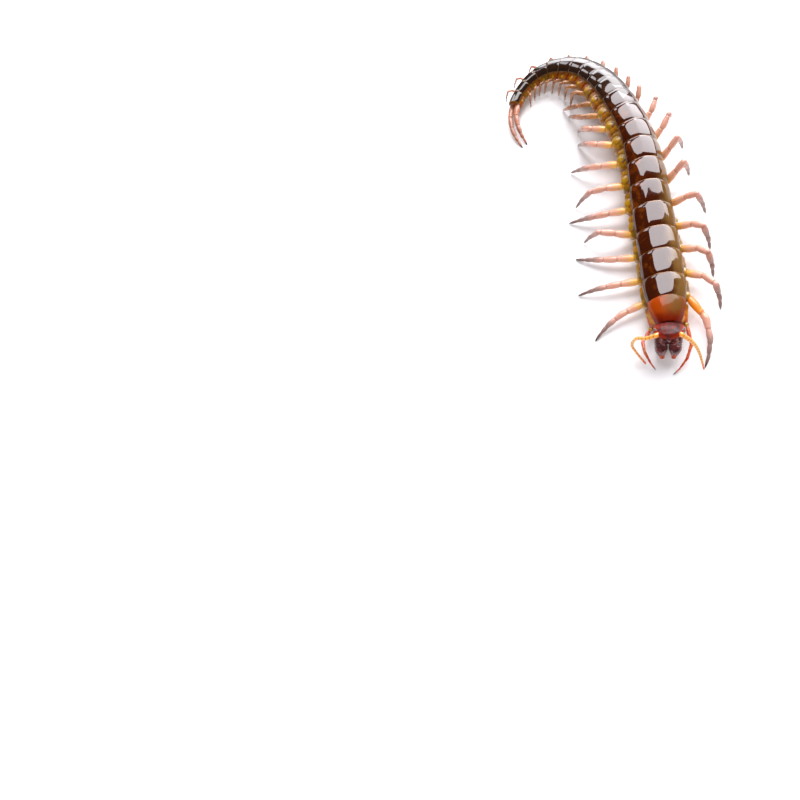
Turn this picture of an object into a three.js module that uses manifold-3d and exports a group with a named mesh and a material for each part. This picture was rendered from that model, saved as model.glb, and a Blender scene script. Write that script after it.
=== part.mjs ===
// A giant centipede at life size, standing on the floor with its tail curled to its right.
// Millimetres, +Z up. The head points to -Y, and the animal's left side is towards +X.
import * as THREE from "three";
import { mergeVertices } from "three/addons/utils/BufferGeometryUtils.js";
import Module from "manifold-3d";

const { lerp, smoothstep, clamp, degToRad } = THREE.MathUtils;

// Trunk: 21 segments that bear legs, smaller towards the tail
const SEGMENTS = 21;
const SEGMENTS_PER_NODE = 3;
const SEGMENT_LENGTH = 6.53;
const SHORT_TERGITES = [2, 4, 6, 9, 11, 13];
const FIRST_SHARE = 0.88;
const SHORT_SHARE = 0.985;
const LONG_SHARE = 1.05;
const TAIL_LENGTH_SHARE = 0.56;
const HALF_WIDTH = 5.8;
const NECK_WIDTH_SHARE = 0.78;
const TAIL_WIDTH_SHARE = 0.34;
const BODY_HEIGHT = 7.0;
const MIDDLE_SWELL = 1.2;
const TAIL_HEIGHT_SHARE = 0.48;
const BELLY_CLEARANCE = 0.9;
const GAP = 0.3;

// Pose: directions in degrees from +X, seen from above, running from the head to the tail
const NECK_AT = new THREE.Vector2(16.51, -39.33);
const BODY_LINE = [
  [0, 94],
  [27, 98.5],
  [41, 98],
  [53, 105],
  [63, 115],
  [73, 117.5],
  [83, 132],
  [93, 167],
  [103, 232],
  [111, 258],
  [119, 294],
  [131, 318],
];
const ROLL = 34;
const ROLL_FROM = 14;
const ROLL_TO = 64;
const TAIL_ROLL_SHARE = 0.42;

// Head
const HEAD_LENGTH = 5.0;
const HEAD_HALF_WIDTH = 3.4;
const HEAD_HEIGHT = 2.6;
const HEAD_PITCH = 36;
const HEAD_TURN = -5;
const HEAD_RISE = 1.7;
const HEAD_AHEAD = 1.2;
const EYE_RADIUS = 0.42;

// Walking legs, measured from the flank to the claw, and the stubs they stand on
const LEG_LENGTH = 15.2;
const TAIL_LEG_SHARE = 0.42;
const NECK_LEG_SHARE = 0.75;
const LEG_RADIUS = 0.92;
const LEG_SIDES = 6;
const COXA_RADIUS = 1.2;
const COXA_RISE = 0.55;
const LEG_GAP = 0.48;
const FIRST_LEG_SHARE = 0.55;
const LEG_THINNEST = 0.28;
const FOOT_RADIUS = 0.16;

// Last legs and feelers
const LAST_LEG_LENGTH = 13.5;
const LAST_LEG_RADIUS = 0.78;
const LAST_LEG_INSET = 0.36;
const LAST_LEG_SPREAD = 0.12;
const ANTENNA_ARTICLES = 17;
const ANTENNA_RADIUS = 0.72;
const ANTENNA_TIP_RADIUS = 0.27;

const COLOURS = {
  shell: { color: 0x3a2416, roughness: 0.25 },
  head: { color: 0x7a2a10, roughness: 0.25 },
  fang: { color: 0x3c1418, roughness: 0.3 },
  leg: { color: 0xb9694a, roughness: 0.4 },
  feeler: { color: 0xe07a1c, roughness: 0.4 },
};

const wasm = await Module();
wasm.setup();
const UP = new THREE.Vector3(0, 0, 1);
const materials = Object.fromEntries(
  Object.entries(COLOURS).map(([name, look]) => [
    name,
    new THREE.MeshStandardMaterial({ ...look, metalness: 0 }),
  ]),
);

// Lengths along the trunk
function segmentLength(i) {
  if (i === 1) return SEGMENT_LENGTH * FIRST_SHARE;
  const share = SHORT_TERGITES.includes(i) ? SHORT_SHARE : LONG_SHARE;
  const even = smoothstep(i, 13, 16);
  const shrink = lerp(1, TAIL_LENGTH_SHARE, smoothstep(i, 4, 20));
  return SEGMENT_LENGTH * lerp(share, 1, even) * shrink;
}
const SEGMENT_START = [0];
for (let i = 1; i <= SEGMENTS; i++)
  SEGMENT_START.push(SEGMENT_START[i - 1] + segmentLength(i));
const TRUNK_LENGTH = SEGMENT_START[SEGMENTS];

// Which segment a length along the trunk falls in, as a running number: 1.5 is the middle of the first
function segmentNumber(s) {
  if (s <= 0) return 0.5;
  for (let i = 1; i <= SEGMENTS; i++)
    if (s <= SEGMENT_START[i])
      return i - 0.5 + (s - SEGMENT_START[i - 1]) / segmentLength(i);
  return SEGMENTS + 0.5;
}
const halfWidthAt = (s) =>
  HALF_WIDTH *
  lerp(NECK_WIDTH_SHARE, 1, smoothstep(s, 0, 11)) *
  lerp(1, TAIL_WIDTH_SHARE, smoothstep(segmentNumber(s), 10, 21));
const heightAt = (s) =>
  BODY_HEIGHT *
  lerp(1, MIDDLE_SWELL, smoothstep(segmentNumber(s), 4, 9)) *
  lerp(1, TAIL_HEIGHT_SHARE, smoothstep(segmentNumber(s), 11, 20));
const rollAt = (s) =>
  degToRad(
    ROLL *
      smoothstep(s, ROLL_FROM, ROLL_TO) *
      lerp(1, TAIL_ROLL_SHARE, smoothstep(segmentNumber(s), 12, 19)),
  );

// Half of the trunk's outline: across as a share of half the width, up as a share of the height.
// The first five points are the tergite and its rim, then the soft flank, then the sternite.
const OUTLINE = [
  [0, 0.5],
  [0.31, 0.485],
  [0.59, 0.415],
  [0.8, 0.27],
  [0.83, 0.13],
  [0.77, 0.03],
  [1, -0.13],
  [0.9, -0.34],
  [0.55, -0.47],
  [0, -0.5],
];
const TERGITE_POINTS = 5;

// The line of the body on the floor, stepped from the neck towards the tail
function headingAt(s) {
  const k = BODY_LINE.findIndex(([length]) => length > s);
  const [[from, start], [to, end]] = [BODY_LINE[k - 1], BODY_LINE[k]];
  return degToRad(lerp(start, end, (s - from) / (to - from)));
}
const PATH_STEP = 0.25;
const PATH_LENGTH = 130;
const path = [NECK_AT.clone()];
for (let s = 0; s < PATH_LENGTH; s += PATH_STEP) {
  const angle = headingAt(s + PATH_STEP / 2);
  path.push(
    path[path.length - 1]
      .clone()
      .add(new THREE.Vector2(Math.cos(angle), Math.sin(angle)).multiplyScalar(PATH_STEP)),
  );
}
function pathAt(s) {
  const k = clamp(Math.floor(s / PATH_STEP), 0, path.length - 2);
  return path[k].clone().lerp(path[k + 1], s / PATH_STEP - k);
}

// Where the middle of the body is at a length, and its own directions there
function frameAt(s) {
  const angle = headingAt(s);
  const forward = new THREE.Vector3(-Math.cos(angle), -Math.sin(angle), 0);
  const side = new THREE.Vector3().crossVectors(UP, forward);
  const roll = rollAt(s);
  const up = UP.clone().multiplyScalar(Math.cos(roll)).addScaledVector(side, Math.sin(roll));
  const left = side.clone().multiplyScalar(Math.cos(roll)).addScaledVector(UP, -Math.sin(roll));
  const depths = OUTLINE.map(
    ([x, y]) => x * halfWidthAt(s) * Math.sin(roll) - y * heightAt(s) * Math.cos(roll),
  );
  const p = pathAt(s);
  return {
    at: new THREE.Vector3(p.x, p.y, BELLY_CLEARANCE + Math.max(...depths)),
    forward,
    left,
    up,
    side,
  };
}

// A closed solid through rings of points, each ring with the same count
function loft(rings) {
  const count = rings[0].length;
  const points = rings.flat();
  const faces = [];
  for (let r = 0; r + 1 < rings.length; r++)
    for (let k = 0; k < count; k++) {
      const a = r * count + k;
      const b = r * count + ((k + 1) % count);
      faces.push(a, b, a + count, b, b + count, a + count);
    }
  for (const [r, turn] of [[0, true], [rings.length - 1, false]]) {
    const middle = new THREE.Vector3();
    rings[r].forEach((p) => middle.addScaledVector(p, 1 / count));
    const m = points.push(middle) - 1;
    for (let k = 0; k < count; k++) {
      const a = r * count + k;
      const b = r * count + ((k + 1) % count);
      faces.push(...(turn ? [m, b, a] : [m, a, b]));
    }
  }
  const geometry = new THREE.BufferGeometry().setFromPoints(points);
  geometry.setIndex(faces);
  return facingOut(geometry);
}

function facingOut(geometry) {
  const p = geometry.attributes.position;
  const index = geometry.index.array;
  const [a, b, c] = [0, 1, 2].map(() => new THREE.Vector3());
  let volume = 0;
  for (let i = 0; i < index.length; i += 3) {
    a.fromBufferAttribute(p, index[i]);
    b.fromBufferAttribute(p, index[i + 1]);
    c.fromBufferAttribute(p, index[i + 2]);
    volume += a.dot(b.cross(c));
  }
  if (volume < 0)
    for (let i = 0; i < index.length; i += 3)
      [index[i + 1], index[i + 2]] = [index[i + 2], index[i + 1]];
  return geometry;
}

function solidOf(geometry) {
  const plain = geometry.clone();
  plain.deleteAttribute("normal");
  plain.deleteAttribute("uv");
  const merged = mergeVertices(plain, 1e-4);
  return new wasm.Manifold(
    new wasm.Mesh({
      numProp: 3,
      vertProperties: new Float32Array(merged.attributes.position.array),
      triVerts: new Uint32Array(merged.index.array),
    }),
  );
}

// Fuses the pieces, takes the cutters away, and keeps the largest closed body
function fused(pieces, cutters = []) {
  let solid = pieces.map(solidOf).reduce((all, piece) => all.add(piece));
  for (const cutter of cutters) solid = solid.subtract(solidOf(cutter));
  const body = solid.decompose().sort((a, b) => b.volume() - a.volume())[0];
  const mesh = body.getMesh();
  const geometry = new THREE.BufferGeometry();
  const points = new Float32Array(mesh.numVert * 3);
  for (let i = 0; i < mesh.numVert; i++)
    points.set(mesh.vertProperties.subarray(i * mesh.numProp, i * mesh.numProp + 3), i * 3);
  geometry.setAttribute("position", new THREE.BufferAttribute(points, 3));
  geometry.setIndex(new THREE.BufferAttribute(mesh.triVerts, 1));
  return geometry;
}

// Along each segment: share of its length, size of the tergite, size of the flank and sternite
const SEGMENT_STATIONS = [
  [0, 0.88, 0.93],
  [0.1, 0.96, 0.97],
  [0.45, 1.0, 1.0],
  [0.93, 1.02, 0.97],
];

function trunkRing(s, tergite, flank) {
  const { at, left, up } = frameAt(s);
  const w = halfWidthAt(s);
  const h = heightAt(s);
  const half = OUTLINE.map(([x, y], k) => {
    const size = k < TERGITE_POINTS ? tergite : flank;
    return [x * w * size, y * h * size];
  });
  const other = half.slice(1, -1).reverse().map(([x, y]) => [-x, y]);
  return [...half, ...other].map(([x, y]) =>
    at.clone().addScaledVector(left, x).addScaledVector(up, y),
  );
}

function trunkShell(first, last) {
  const rings = [];
  const front = SEGMENT_START[first - 1] + (first === 1 ? 0 : GAP / 2);
  const back = SEGMENT_START[last] - (last === SEGMENTS ? 0 : GAP / 2);
  for (let i = first; i <= last; i++)
    for (const [share, tergite, flank] of SEGMENT_STATIONS) {
      const s = SEGMENT_START[i - 1] + share * segmentLength(i);
      rings.push(trunkRing(clamp(s, front, back), tergite, flank));
    }
  rings.push(trunkRing(back, SEGMENT_STATIONS[0][1], SEGMENT_STATIONS[0][2]));
  return loft(rings);
}

// How the front legs are held: reach from the flank in mm, sweep towards the head in degrees,
// and the share of that sweep that a leg has at its root
const LEFT_LEGS = [
  [11.2, 112, 0.62],
  [17.3, 86, 0.6],
  [11.3, 58],
  [9.5, 54],
  [9.2, 48],
  [7.9, 24],
  [6.0, -21],
  [7.1, -28],
  [10.0, -46],
  [9.9, -49],
];
const RIGHT_LEGS = [
  [9.0, 97, 0.42],
  [13.8, 33],
  [14.7, 1],
  [14.8, -17],
  [11.5, -12],
  [14.6, -10],
  [11.9, 0],
  [12.9, -29],
  [11.4, -53],
  [9.8, -62],
  [11.2, -69],
  [9.6, -62],
];
const LONG_LEG = 2;
const LONG_LEG_SHARE = 1.24;
const LEFT_TUCKED_REACH = 0.6;
const RIGHT_TUCKED_REACH = 0.42;
const TUCKED_SWEEP = -58;
const EARLY_SWEEP = 0.45;
const legSize = (i) =>
  lerp(1, TAIL_LEG_SHARE, smoothstep(i, 7, 18)) * lerp(NECK_LEG_SHARE, 1, smoothstep(i, 0, 3));
function legPose(side, i) {
  const held = (side > 0 ? LEFT_LEGS : RIGHT_LEGS)[i - 1];
  const length = LEG_LENGTH * legSize(i) * (side > 0 && i === LONG_LEG ? LONG_LEG_SHARE : 1);
  const tucked = (side > 0 ? LEFT_TUCKED_REACH : RIGHT_TUCKED_REACH) * length;
  const [reach, sweep, early = EARLY_SWEEP] = held ?? [tucked, TUCKED_SWEEP];
  return { length, reach, sweep: degToRad(sweep), early };
}

// The root of a leg on its segment, on the low part of the flank. The first pair stands at the
// neck and points ahead, from under the head.
const coxaPlace = (i) => lerp(0.25, 0.5, smoothstep(i, 4, 10));
const COXA_OUT = 0.9;
const COXA_DOWN = { left: 0.14, right: 0.24 };
const FIRST_COXA_AHEAD = 3.2;
function legRoot(side, i) {
  const s = i === 1 ? 0 : SEGMENT_START[i - 1] + coxaPlace(i) * segmentLength(i);
  const f = frameAt(s);
  const outward = f.left.clone().multiplyScalar(side);
  const flank = f.at
    .clone()
    .addScaledVector(outward, COXA_OUT * halfWidthAt(s))
    .addScaledVector(f.up, -(side > 0 ? COXA_DOWN.left : COXA_DOWN.right) * heightAt(s));
  const normal = outward.clone().addScaledVector(f.side, side);
  if (i === 1) normal.addScaledVector(f.forward, FIRST_COXA_AHEAD);
  normal.normalize();
  return { flank, normal, level: f.side.clone().multiplyScalar(side), forward: f.forward };
}

// Joints of a leg from its root to its foot: share of the reach, share of the lift
const LEG_JOINTS = [
  [0, 0],
  [0.36, 0.58],
  [0.64, 1],
  [0.85, 0.58],
];
function legLine(root, { reach, sweep, length, early }) {
  const place = (share, z) => {
    const turn = sweep * lerp(early, 1, share);
    return root
      .clone()
      .addScaledVector(level, Math.cos(turn) * share * reach)
      .addScaledVector(forward, Math.sin(turn) * share * reach)
      .setZ(z);
  };
  const { level, forward } = root;
  const lineFor = (lift) => [
    ...LEG_JOINTS.map(([share, rise]) =>
      place(share, lerp(root.z, 0, share * share) + rise * lift),
    ),
    place(1, 0),
  ];
  const lengthOf = (line) =>
    line.slice(1).reduce((sum, p, k) => sum + p.distanceTo(line[k]), 0);
  let [low, high] = [0, 0.62 * length];
  for (let n = 0; n < 24; n++) {
    const lift = (low + high) / 2;
    if (lengthOf(lineFor(lift)) < length) low = lift;
    else high = lift;
  }
  return lineFor(low);
}

// Rings across a line through its joints, thinner at each joint: share of a piece, thickness.
// The first ring keeps to the root's own axis, and no ring may reach below the floor.
const PIECE_STATIONS = [
  [0, 0.8],
  [0.35, 1.08],
  [0.82, 1],
];
const PIECE_THICKNESS = [1, 0.86, 0.68, 0.5];
const TIP_TAPER = 0.5;
const ROOT_BEND = 0.15;
const FLOOR_SHARE = 0.85;

function across(point, direction, radius, sides) {
  const a = new THREE.Vector3().crossVectors(direction, UP).normalize();
  const b = new THREE.Vector3().crossVectors(a, direction).normalize();
  return Array.from({ length: sides }, (_, k) => {
    const turn = (2 * Math.PI * (k + 0.5)) / sides;
    return point
      .clone()
      .addScaledVector(a, Math.cos(turn) * radius)
      .addScaledVector(b, Math.sin(turn) * radius);
  });
}

function legShell(line, axis, radius) {
  const rings = [];
  line.slice(0, -1).forEach((start, k) => {
    const end = line[k + 1];
    const along = end.clone().sub(start).normalize();
    const before = k ? start.clone().sub(line[k - 1]).normalize() : axis;
    for (const [share, swell] of PIECE_STATIONS) {
      const bend = before.clone().lerp(along, k ? 0.5 : ROOT_BEND).normalize();
      const taper = k === PIECE_THICKNESS.length - 1 ? 1 - TIP_TAPER * share : 1;
      const middle = start.clone().lerp(end, share);
      const full = Math.max(LEG_THINNEST, radius * PIECE_THICKNESS[k] * swell * taper);
      const r = Math.min(full, FLOOR_SHARE * middle.z);
      rings.push(across(middle, share === 0 ? bend : along, r, LEG_SIDES));
    }
  });
  const foot = line[line.length - 1];
  const last = foot.clone().sub(line[line.length - 2]).normalize();
  const flat = across(foot, last, FOOT_RADIUS, LEG_SIDES).map((p) => p.setZ(0));
  rings.push(flat);
  return loft(rings);
}

function legAt(side, i) {
  const { flank, normal, level, forward } = legRoot(side, i);
  const size = legSize(i);
  const slim = i === 1 ? FIRST_LEG_SHARE : 1;
  const pose = legPose(side, i);
  const near = flank.clone().addScaledVector(normal, COXA_RISE * size);
  const rough = Object.assign(near, { level, forward });
  const guess = legLine(rough, pose);
  const axis = guess[1].clone().sub(guess[0]).normalize().add(normal).normalize();
  const face = flank.clone().addScaledVector(axis, COXA_RISE * size);
  const root = Object.assign(face.clone().addScaledVector(axis, LEG_GAP), { level, forward });
  const line = legLine(root, pose);
  return {
    shell: legShell(line, axis, LEG_RADIUS * size * slim),
    coxa: stub(flank, axis, COXA_RISE * size, COXA_RADIUS * size * slim),
  };
}

// A short cylinder that stands out of the flank, its root sunk in the body
function stub(from, axis, rise, radius) {
  const geometry = new THREE.CylinderGeometry(radius * 0.86, radius, rise + radius, 8);
  geometry.translate(0, (rise - radius) / 2, 0);
  geometry.applyQuaternion(new THREE.Quaternion().setFromUnitVectors(new THREE.Vector3(0, 1, 0), axis));
  geometry.translate(from.x, from.y, from.z);
  return geometry;
}

// The last pair of legs trails behind the body, close together
function lastLeg(side) {
  const count = 5;
  const inset = LAST_LEG_INSET * halfWidthAt(TRUNK_LENGTH);
  const start = frameAt(TRUNK_LENGTH);
  const line = Array.from({ length: count }, (_, k) => {
    const share = k / (count - 1);
    const s = TRUNK_LENGTH + GAP + share * LAST_LEG_LENGTH;
    const f = frameAt(s);
    const spread = inset + LAST_LEG_SPREAD * Math.sin(Math.PI * share * 0.8);
    return f.at
      .clone()
      .setZ(lerp(start.at.z - 0.2 + side * -0.5 * inset, 0, share ** 1.6))
      .addScaledVector(f.side, side * spread * lerp(1.25, 1, share));
  });
  return legShell(line, start.forward.clone().negate(), LAST_LEG_RADIUS);
}

// The head's own place and directions: it is turned a little and raised from the neck
const neck = frameAt(0);
for (const direction of [neck.forward, neck.side])
  direction.applyAxisAngle(UP, degToRad(HEAD_TURN));
const pitch = degToRad(HEAD_PITCH);
const head = {
  at: neck.at.clone().addScaledVector(UP, HEAD_RISE).addScaledVector(neck.forward, HEAD_AHEAD),
  forward: neck.forward.clone().multiplyScalar(Math.cos(pitch)).addScaledVector(UP, Math.sin(pitch)),
  up: UP.clone().multiplyScalar(Math.cos(pitch)).addScaledVector(neck.forward, -Math.sin(pitch)),
  left: neck.side,
};
const onHead = (forward, left, up) =>
  head.at
    .clone()
    .addScaledVector(head.forward, forward)
    .addScaledVector(head.left, left)
    .addScaledVector(head.up, up);
const byNeck = (forward, left, up) =>
  new THREE.Vector3(neck.at.x, neck.at.y, 0)
    .addScaledVector(neck.forward, forward)
    .addScaledVector(neck.side, left)
    .addScaledVector(UP, up);

// The head shield: share of its length, share of its width, share of its height
const HEAD_STATIONS = [
  [0, 0.84, 0.78],
  [0.12, 0.96, 0.94],
  [0.36, 1, 1],
  [0.6, 0.95, 0.96],
  [0.8, 0.8, 0.82],
  [0.93, 0.58, 0.6],
  [1, 0.34, 0.36],
];
function headShell(grow) {
  const sides = 16;
  return loft(
    HEAD_STATIONS.map(([share, width, height]) =>
      Array.from({ length: sides }, (_, k) => {
        const turn = (2 * Math.PI * k) / sides;
        const up = Math.sin(turn);
        const rise = up > 0 ? 0.62 : 0.38;
        return onHead(
          share * (HEAD_LENGTH + 2 * grow) - grow * (share > 0 ? 1 : 0),
          Math.cos(turn) * (HEAD_HALF_WIDTH * width + grow),
          up * (HEAD_HEIGHT * height * rise + grow),
        );
      }),
    ),
  );
}

// Four simple eyes in a cluster on each side of the head: places ahead and above, in mm
const EYE_SPOTS = [
  [0, 0],
  [0.75, 0.1],
  [0.1, 0.55],
  [0.8, 0.6],
];
const EYE_AHEAD = 0.42;
const EYE_OUT = 0.96;
const EYE_UP = 0.1;
const EYE_DRAW = { ahead: 0.3, above: 0.25 };
function eyes() {
  return [-1, 1].flatMap((side) =>
    EYE_SPOTS.map(([ahead, above]) => {
      const eye = new THREE.OctahedronGeometry(EYE_RADIUS, 1);
      const drawn = EYE_DRAW.ahead * ahead + EYE_DRAW.above * above;
      const out = EYE_OUT * HEAD_HALF_WIDTH - drawn;
      const p = onHead(EYE_AHEAD * HEAD_LENGTH + ahead, side * out, EYE_UP + above);
      eye.translate(p.x, p.y, p.z);
      return mergeVertices(stripped(eye));
    }),
  );
}
function stripped(geometry) {
  geometry.deleteAttribute("normal");
  geometry.deleteAttribute("uv");
  return geometry;
}

// A tapering horn along a curve through a few points, as the fangs and feelers are
function horn(points, radii, sides, steps) {
  const curve = new THREE.CatmullRomCurve3(points);
  return loft(
    Array.from({ length: steps + 1 }, (_, k) => {
      const t = k / steps;
      return across(curve.getPointAt(t), curve.getTangentAt(t), radii(t), sides);
    }),
  );
}

// The plate under the head that carries the fangs: place ahead, half its width, its thickness
const PLATE_STATIONS = [
  [0.6, 2.4, 1.1],
  [1.6, 2.3, 1.1],
  [2.7, 1.8, 0.95],
  [3.4, 1.2, 0.75],
];
const PLATE_BOTTOM = 1.1;
function fangPlate() {
  return loft(
    PLATE_STATIONS.map(([ahead, half, thick]) =>
      [[1, 0.15], [1, 0.7], [0.6, 1], [-0.6, 1], [-1, 0.7], [-1, 0.15], [-0.6, 0], [0.6, 0]].map(
        ([x, z]) => byNeck(ahead, x * half, PLATE_BOTTOM + z * thick),
      ),
    ),
  );
}

// A fang runs out from the plate and on under the head, its tip bent in
const FANG_LINE = [
  [0.9, 1.85, 3.9],
  [2.4, 1.8, 3.9],
  [3.9, 1.7, 3.6],
  [5.2, 1.6, 3.1],
  [6.4, 1.45, 2.5],
  [7.5, 1.25, 1.9],
];
const FANG_RADIUS = 1.3;
const FANG_TIP_SHARE = 0.36;
function fang(side) {
  const points = FANG_LINE.map(([ahead, out, up]) => byNeck(ahead, side * out, up));
  const swell = (t) => lerp(0.82, 1, smoothstep(t, 0, 0.12));
  const taper = (t) => lerp(1, FANG_TIP_SHARE, smoothstep(t, 0.68, 1));
  return horn(points, (t) => FANG_RADIUS * swell(t) * taper(t), 8, 14);
}

const ANTENNA_ROOT = { ahead: 0.86, out: 0.73 };
const ANTENNA_LINES = {
  left: [
    [5.5, 5.3, 6.5],
    [7.2, 6.8, 4],
    [10.1, 8, 0.8],
  ],
  right: [
    [4.8, -5, 7.9],
    [4.2, -7.2, 6.4],
    [4.9, -8.2, 4.2],
    [6.4, -7, 2.4],
    [8.6, -4.9, 0.8],
  ],
};
function antenna(word, side) {
  const start = onHead(
    ANTENNA_ROOT.ahead * HEAD_LENGTH,
    side * (ANTENNA_ROOT.out * HEAD_HALF_WIDTH + GAP),
    0.3,
  );
  const points = [start, ...ANTENNA_LINES[word].map(([ahead, out, up]) => byNeck(ahead, out, up))];
  const radius = (t) => {
    const bead = 0.06 * Math.cos(2 * Math.PI * t * ANTENNA_ARTICLES);
    return lerp(ANTENNA_RADIUS, ANTENNA_TIP_RADIUS, Math.pow(t, 0.8)) * (1 - bead);
  };
  return horn(points, radius, 6, 2 * ANTENNA_ARTICLES);
}

const centipede = new THREE.Group();
function add(name, geometry, material) {
  const mesh = new THREE.Mesh(geometry, materials[material]);
  mesh.name = name;
  centipede.add(mesh);
}
const numbered = (i) => String(i).padStart(2, "0");
const SIDES = [["left", 1], ["right", -1]];

const coxae = {};
for (let i = 1; i < SEGMENTS; i++)
  for (const [word, side] of SIDES) {
    const leg = legAt(side, i);
    (coxae[i] ??= []).push(leg.coxa);
    add(`leg_${word}_${numbered(i)}`, leg.shell, "leg");
  }
for (let first = 1; first <= SEGMENTS; first += SEGMENTS_PER_NODE) {
  const last = Math.min(first + SEGMENTS_PER_NODE - 1, SEGMENTS);
  const pieces = [trunkShell(first, last)];
  for (let i = first; i <= last; i++) pieces.push(...(coxae[i] ?? []));
  add(`trunk_${numbered(first)}_${numbered(last)}`, fused(pieces), "shell");
}
const headCutter = headShell(GAP);
add("head", fused([headShell(0), ...eyes()]), "head");
add("fang_plate", fused([fangPlate()], [headCutter]), "head");
for (const [word, side] of SIDES) {
  add(`fang_${word}`, fused([fang(side)], [headCutter]), "fang");
  add(`antenna_${word}`, fused([antenna(word, side)], [headCutter]), "feeler");
  add(`leg_last_${word}`, lastLeg(side), "leg");
}

export default centipede;
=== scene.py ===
# %% [markdown]
# A giant centipede, life size, in a wet gloss. The solids of the frame give its pose and its reach.
# This script dresses them: shell plates, soft skin, jointed legs, beaded feelers and fangs. Each is
# a surface worked out with numpy from the same named sizes, and not sculpted, so that all 21
# segments stay alike and the scene follows the solids.

# %% Load the frame
import bpy
import numpy as np
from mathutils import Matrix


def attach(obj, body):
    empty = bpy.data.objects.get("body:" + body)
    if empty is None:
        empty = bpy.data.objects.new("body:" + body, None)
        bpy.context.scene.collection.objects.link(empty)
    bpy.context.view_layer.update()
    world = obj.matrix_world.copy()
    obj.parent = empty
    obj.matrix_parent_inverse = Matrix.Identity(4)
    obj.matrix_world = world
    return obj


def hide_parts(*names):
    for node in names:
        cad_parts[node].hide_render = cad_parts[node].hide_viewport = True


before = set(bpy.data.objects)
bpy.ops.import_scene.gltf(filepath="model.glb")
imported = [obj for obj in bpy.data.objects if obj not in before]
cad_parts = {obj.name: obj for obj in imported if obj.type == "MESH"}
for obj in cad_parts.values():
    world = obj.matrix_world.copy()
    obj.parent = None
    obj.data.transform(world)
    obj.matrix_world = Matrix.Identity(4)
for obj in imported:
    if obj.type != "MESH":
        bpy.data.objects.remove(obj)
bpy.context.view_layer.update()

# %% [markdown]
# Every size below is in millimetres, as on the solids, and becomes metres only where a mesh is
# filled. The trunk has 21 segments that bear legs. The body line says which way the animal runs,
# in degrees, at lengths from the neck, and the roll leans its back outwards along the curl. A curve
# drawn by hand could carry the body too, but turning points in degrees are easy to read and change.

# %% Sizes shared with the solids
MM = 0.001
SEGMENTS = 21
SEGMENT_LENGTH = 6.53
SHORT_TERGITES = [2, 4, 6, 9, 11, 13]
FIRST_SHARE = 0.88
SHORT_SHARE = 0.985
LONG_SHARE = 1.05
TAIL_LENGTH_SHARE = 0.56
HALF_WIDTH = 5.8
NECK_WIDTH_SHARE = 0.78
TAIL_WIDTH_SHARE = 0.34
BODY_HEIGHT = 7.0
MIDDLE_SWELL = 1.2
TAIL_HEIGHT_SHARE = 0.48
BELLY_CLEARANCE = 0.9
NECK_AT = (16.51, -39.33)
BODY_LINE = [(0, 94), (27, 98.5), (41, 98), (53, 105), (63, 115), (73, 117.5), (83, 132),
             (93, 167), (103, 232), (111, 258), (119, 294), (131, 318)]
ROLL = 34
ROLL_FROM = 14
ROLL_TO = 64
TAIL_ROLL_SHARE = 0.42
HEAD_LENGTH = 5.0
HEAD_HALF_WIDTH = 3.4
HEAD_HEIGHT = 2.6
HEAD_PITCH = 36
HEAD_TURN = -5
HEAD_RISE = 1.7
HEAD_AHEAD = 1.2
OUTLINE = np.array([(0, 0.5), (0.31, 0.485), (0.59, 0.415), (0.8, 0.27), (0.83, 0.13), (0.77, 0.03),
                    (1, -0.13), (0.9, -0.34), (0.55, -0.47), (0, -0.5)])

# %% Blends and small vector helpers
def lerp(a, b, t):
    """A straight blend from a to b."""
    return a + (b - a) * t


def smoothstep(x, low, high):
    """0 below low, 1 above high, and a smooth S between them."""
    t = np.clip((np.asarray(x, float) - low) / (high - low), 0, 1)
    return t * t * (3 - 2 * t)


def hump(x, middle, width):
    """A bell that is 1 at the middle and falls away over the width."""
    return np.exp(-(((np.asarray(x, float) - middle) / width) ** 2))


def unit(v):
    """Vectors scaled to length 1."""
    return v / np.maximum(np.linalg.norm(v, axis=-1, keepdims=True), 1e-9)


UP = np.array([0.0, 0.0, 1.0])

# %% Lengths of the segments
number = np.arange(1, SEGMENTS + 1)
uneven = np.where(np.isin(number, SHORT_TERGITES), SHORT_SHARE, LONG_SHARE)
SEGMENT_LENGTHS = SEGMENT_LENGTH * lerp(uneven, 1, smoothstep(number, 13, 16))
SEGMENT_LENGTHS = SEGMENT_LENGTHS * lerp(1, TAIL_LENGTH_SHARE, smoothstep(number, 4, 20))
SEGMENT_LENGTHS[0] = SEGMENT_LENGTH * FIRST_SHARE
STARTS = np.concatenate([[0], np.cumsum(SEGMENT_LENGTHS)])
TRUNK_LENGTH = STARTS[-1]
print("trunk", round(TRUNK_LENGTH, 1), "mm along its curve")

# %% The body line, stepped from the neck towards the tail
PATH_STEP = 0.25
steps = np.arange(0, 130, PATH_STEP)


def heading(s):
    """The direction of the body line in radians, from the named turning points."""
    return np.radians(np.interp(s, [p[0] for p in BODY_LINE], [p[1] for p in BODY_LINE]))


turns = heading(steps + PATH_STEP / 2)
PATH = np.cumsum(np.stack([np.cos(turns), np.sin(turns)], 1) * PATH_STEP, axis=0)
PATH = np.vstack([[0, 0], PATH]) + NECK_AT
PATH_AT = np.append(steps, steps[-1] + PATH_STEP)
print("body line turns by", BODY_LINE[-1][1] - BODY_LINE[0][1], "degrees")

# %% Width, height and lean along the trunk
def segment_number(s):
    """A running number along the trunk: 1 is the middle of the first segment."""
    return np.interp(s, STARTS, np.arange(SEGMENTS + 1) + 0.5)


def half_width(s):
    """Half the trunk's width: narrow at the neck, full in the middle, fine at the tail."""
    neck = lerp(NECK_WIDTH_SHARE, 1, smoothstep(s, 0, 11))
    return HALF_WIDTH * neck * lerp(1, TAIL_WIDTH_SHARE, smoothstep(segment_number(s), 10, 21))


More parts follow.
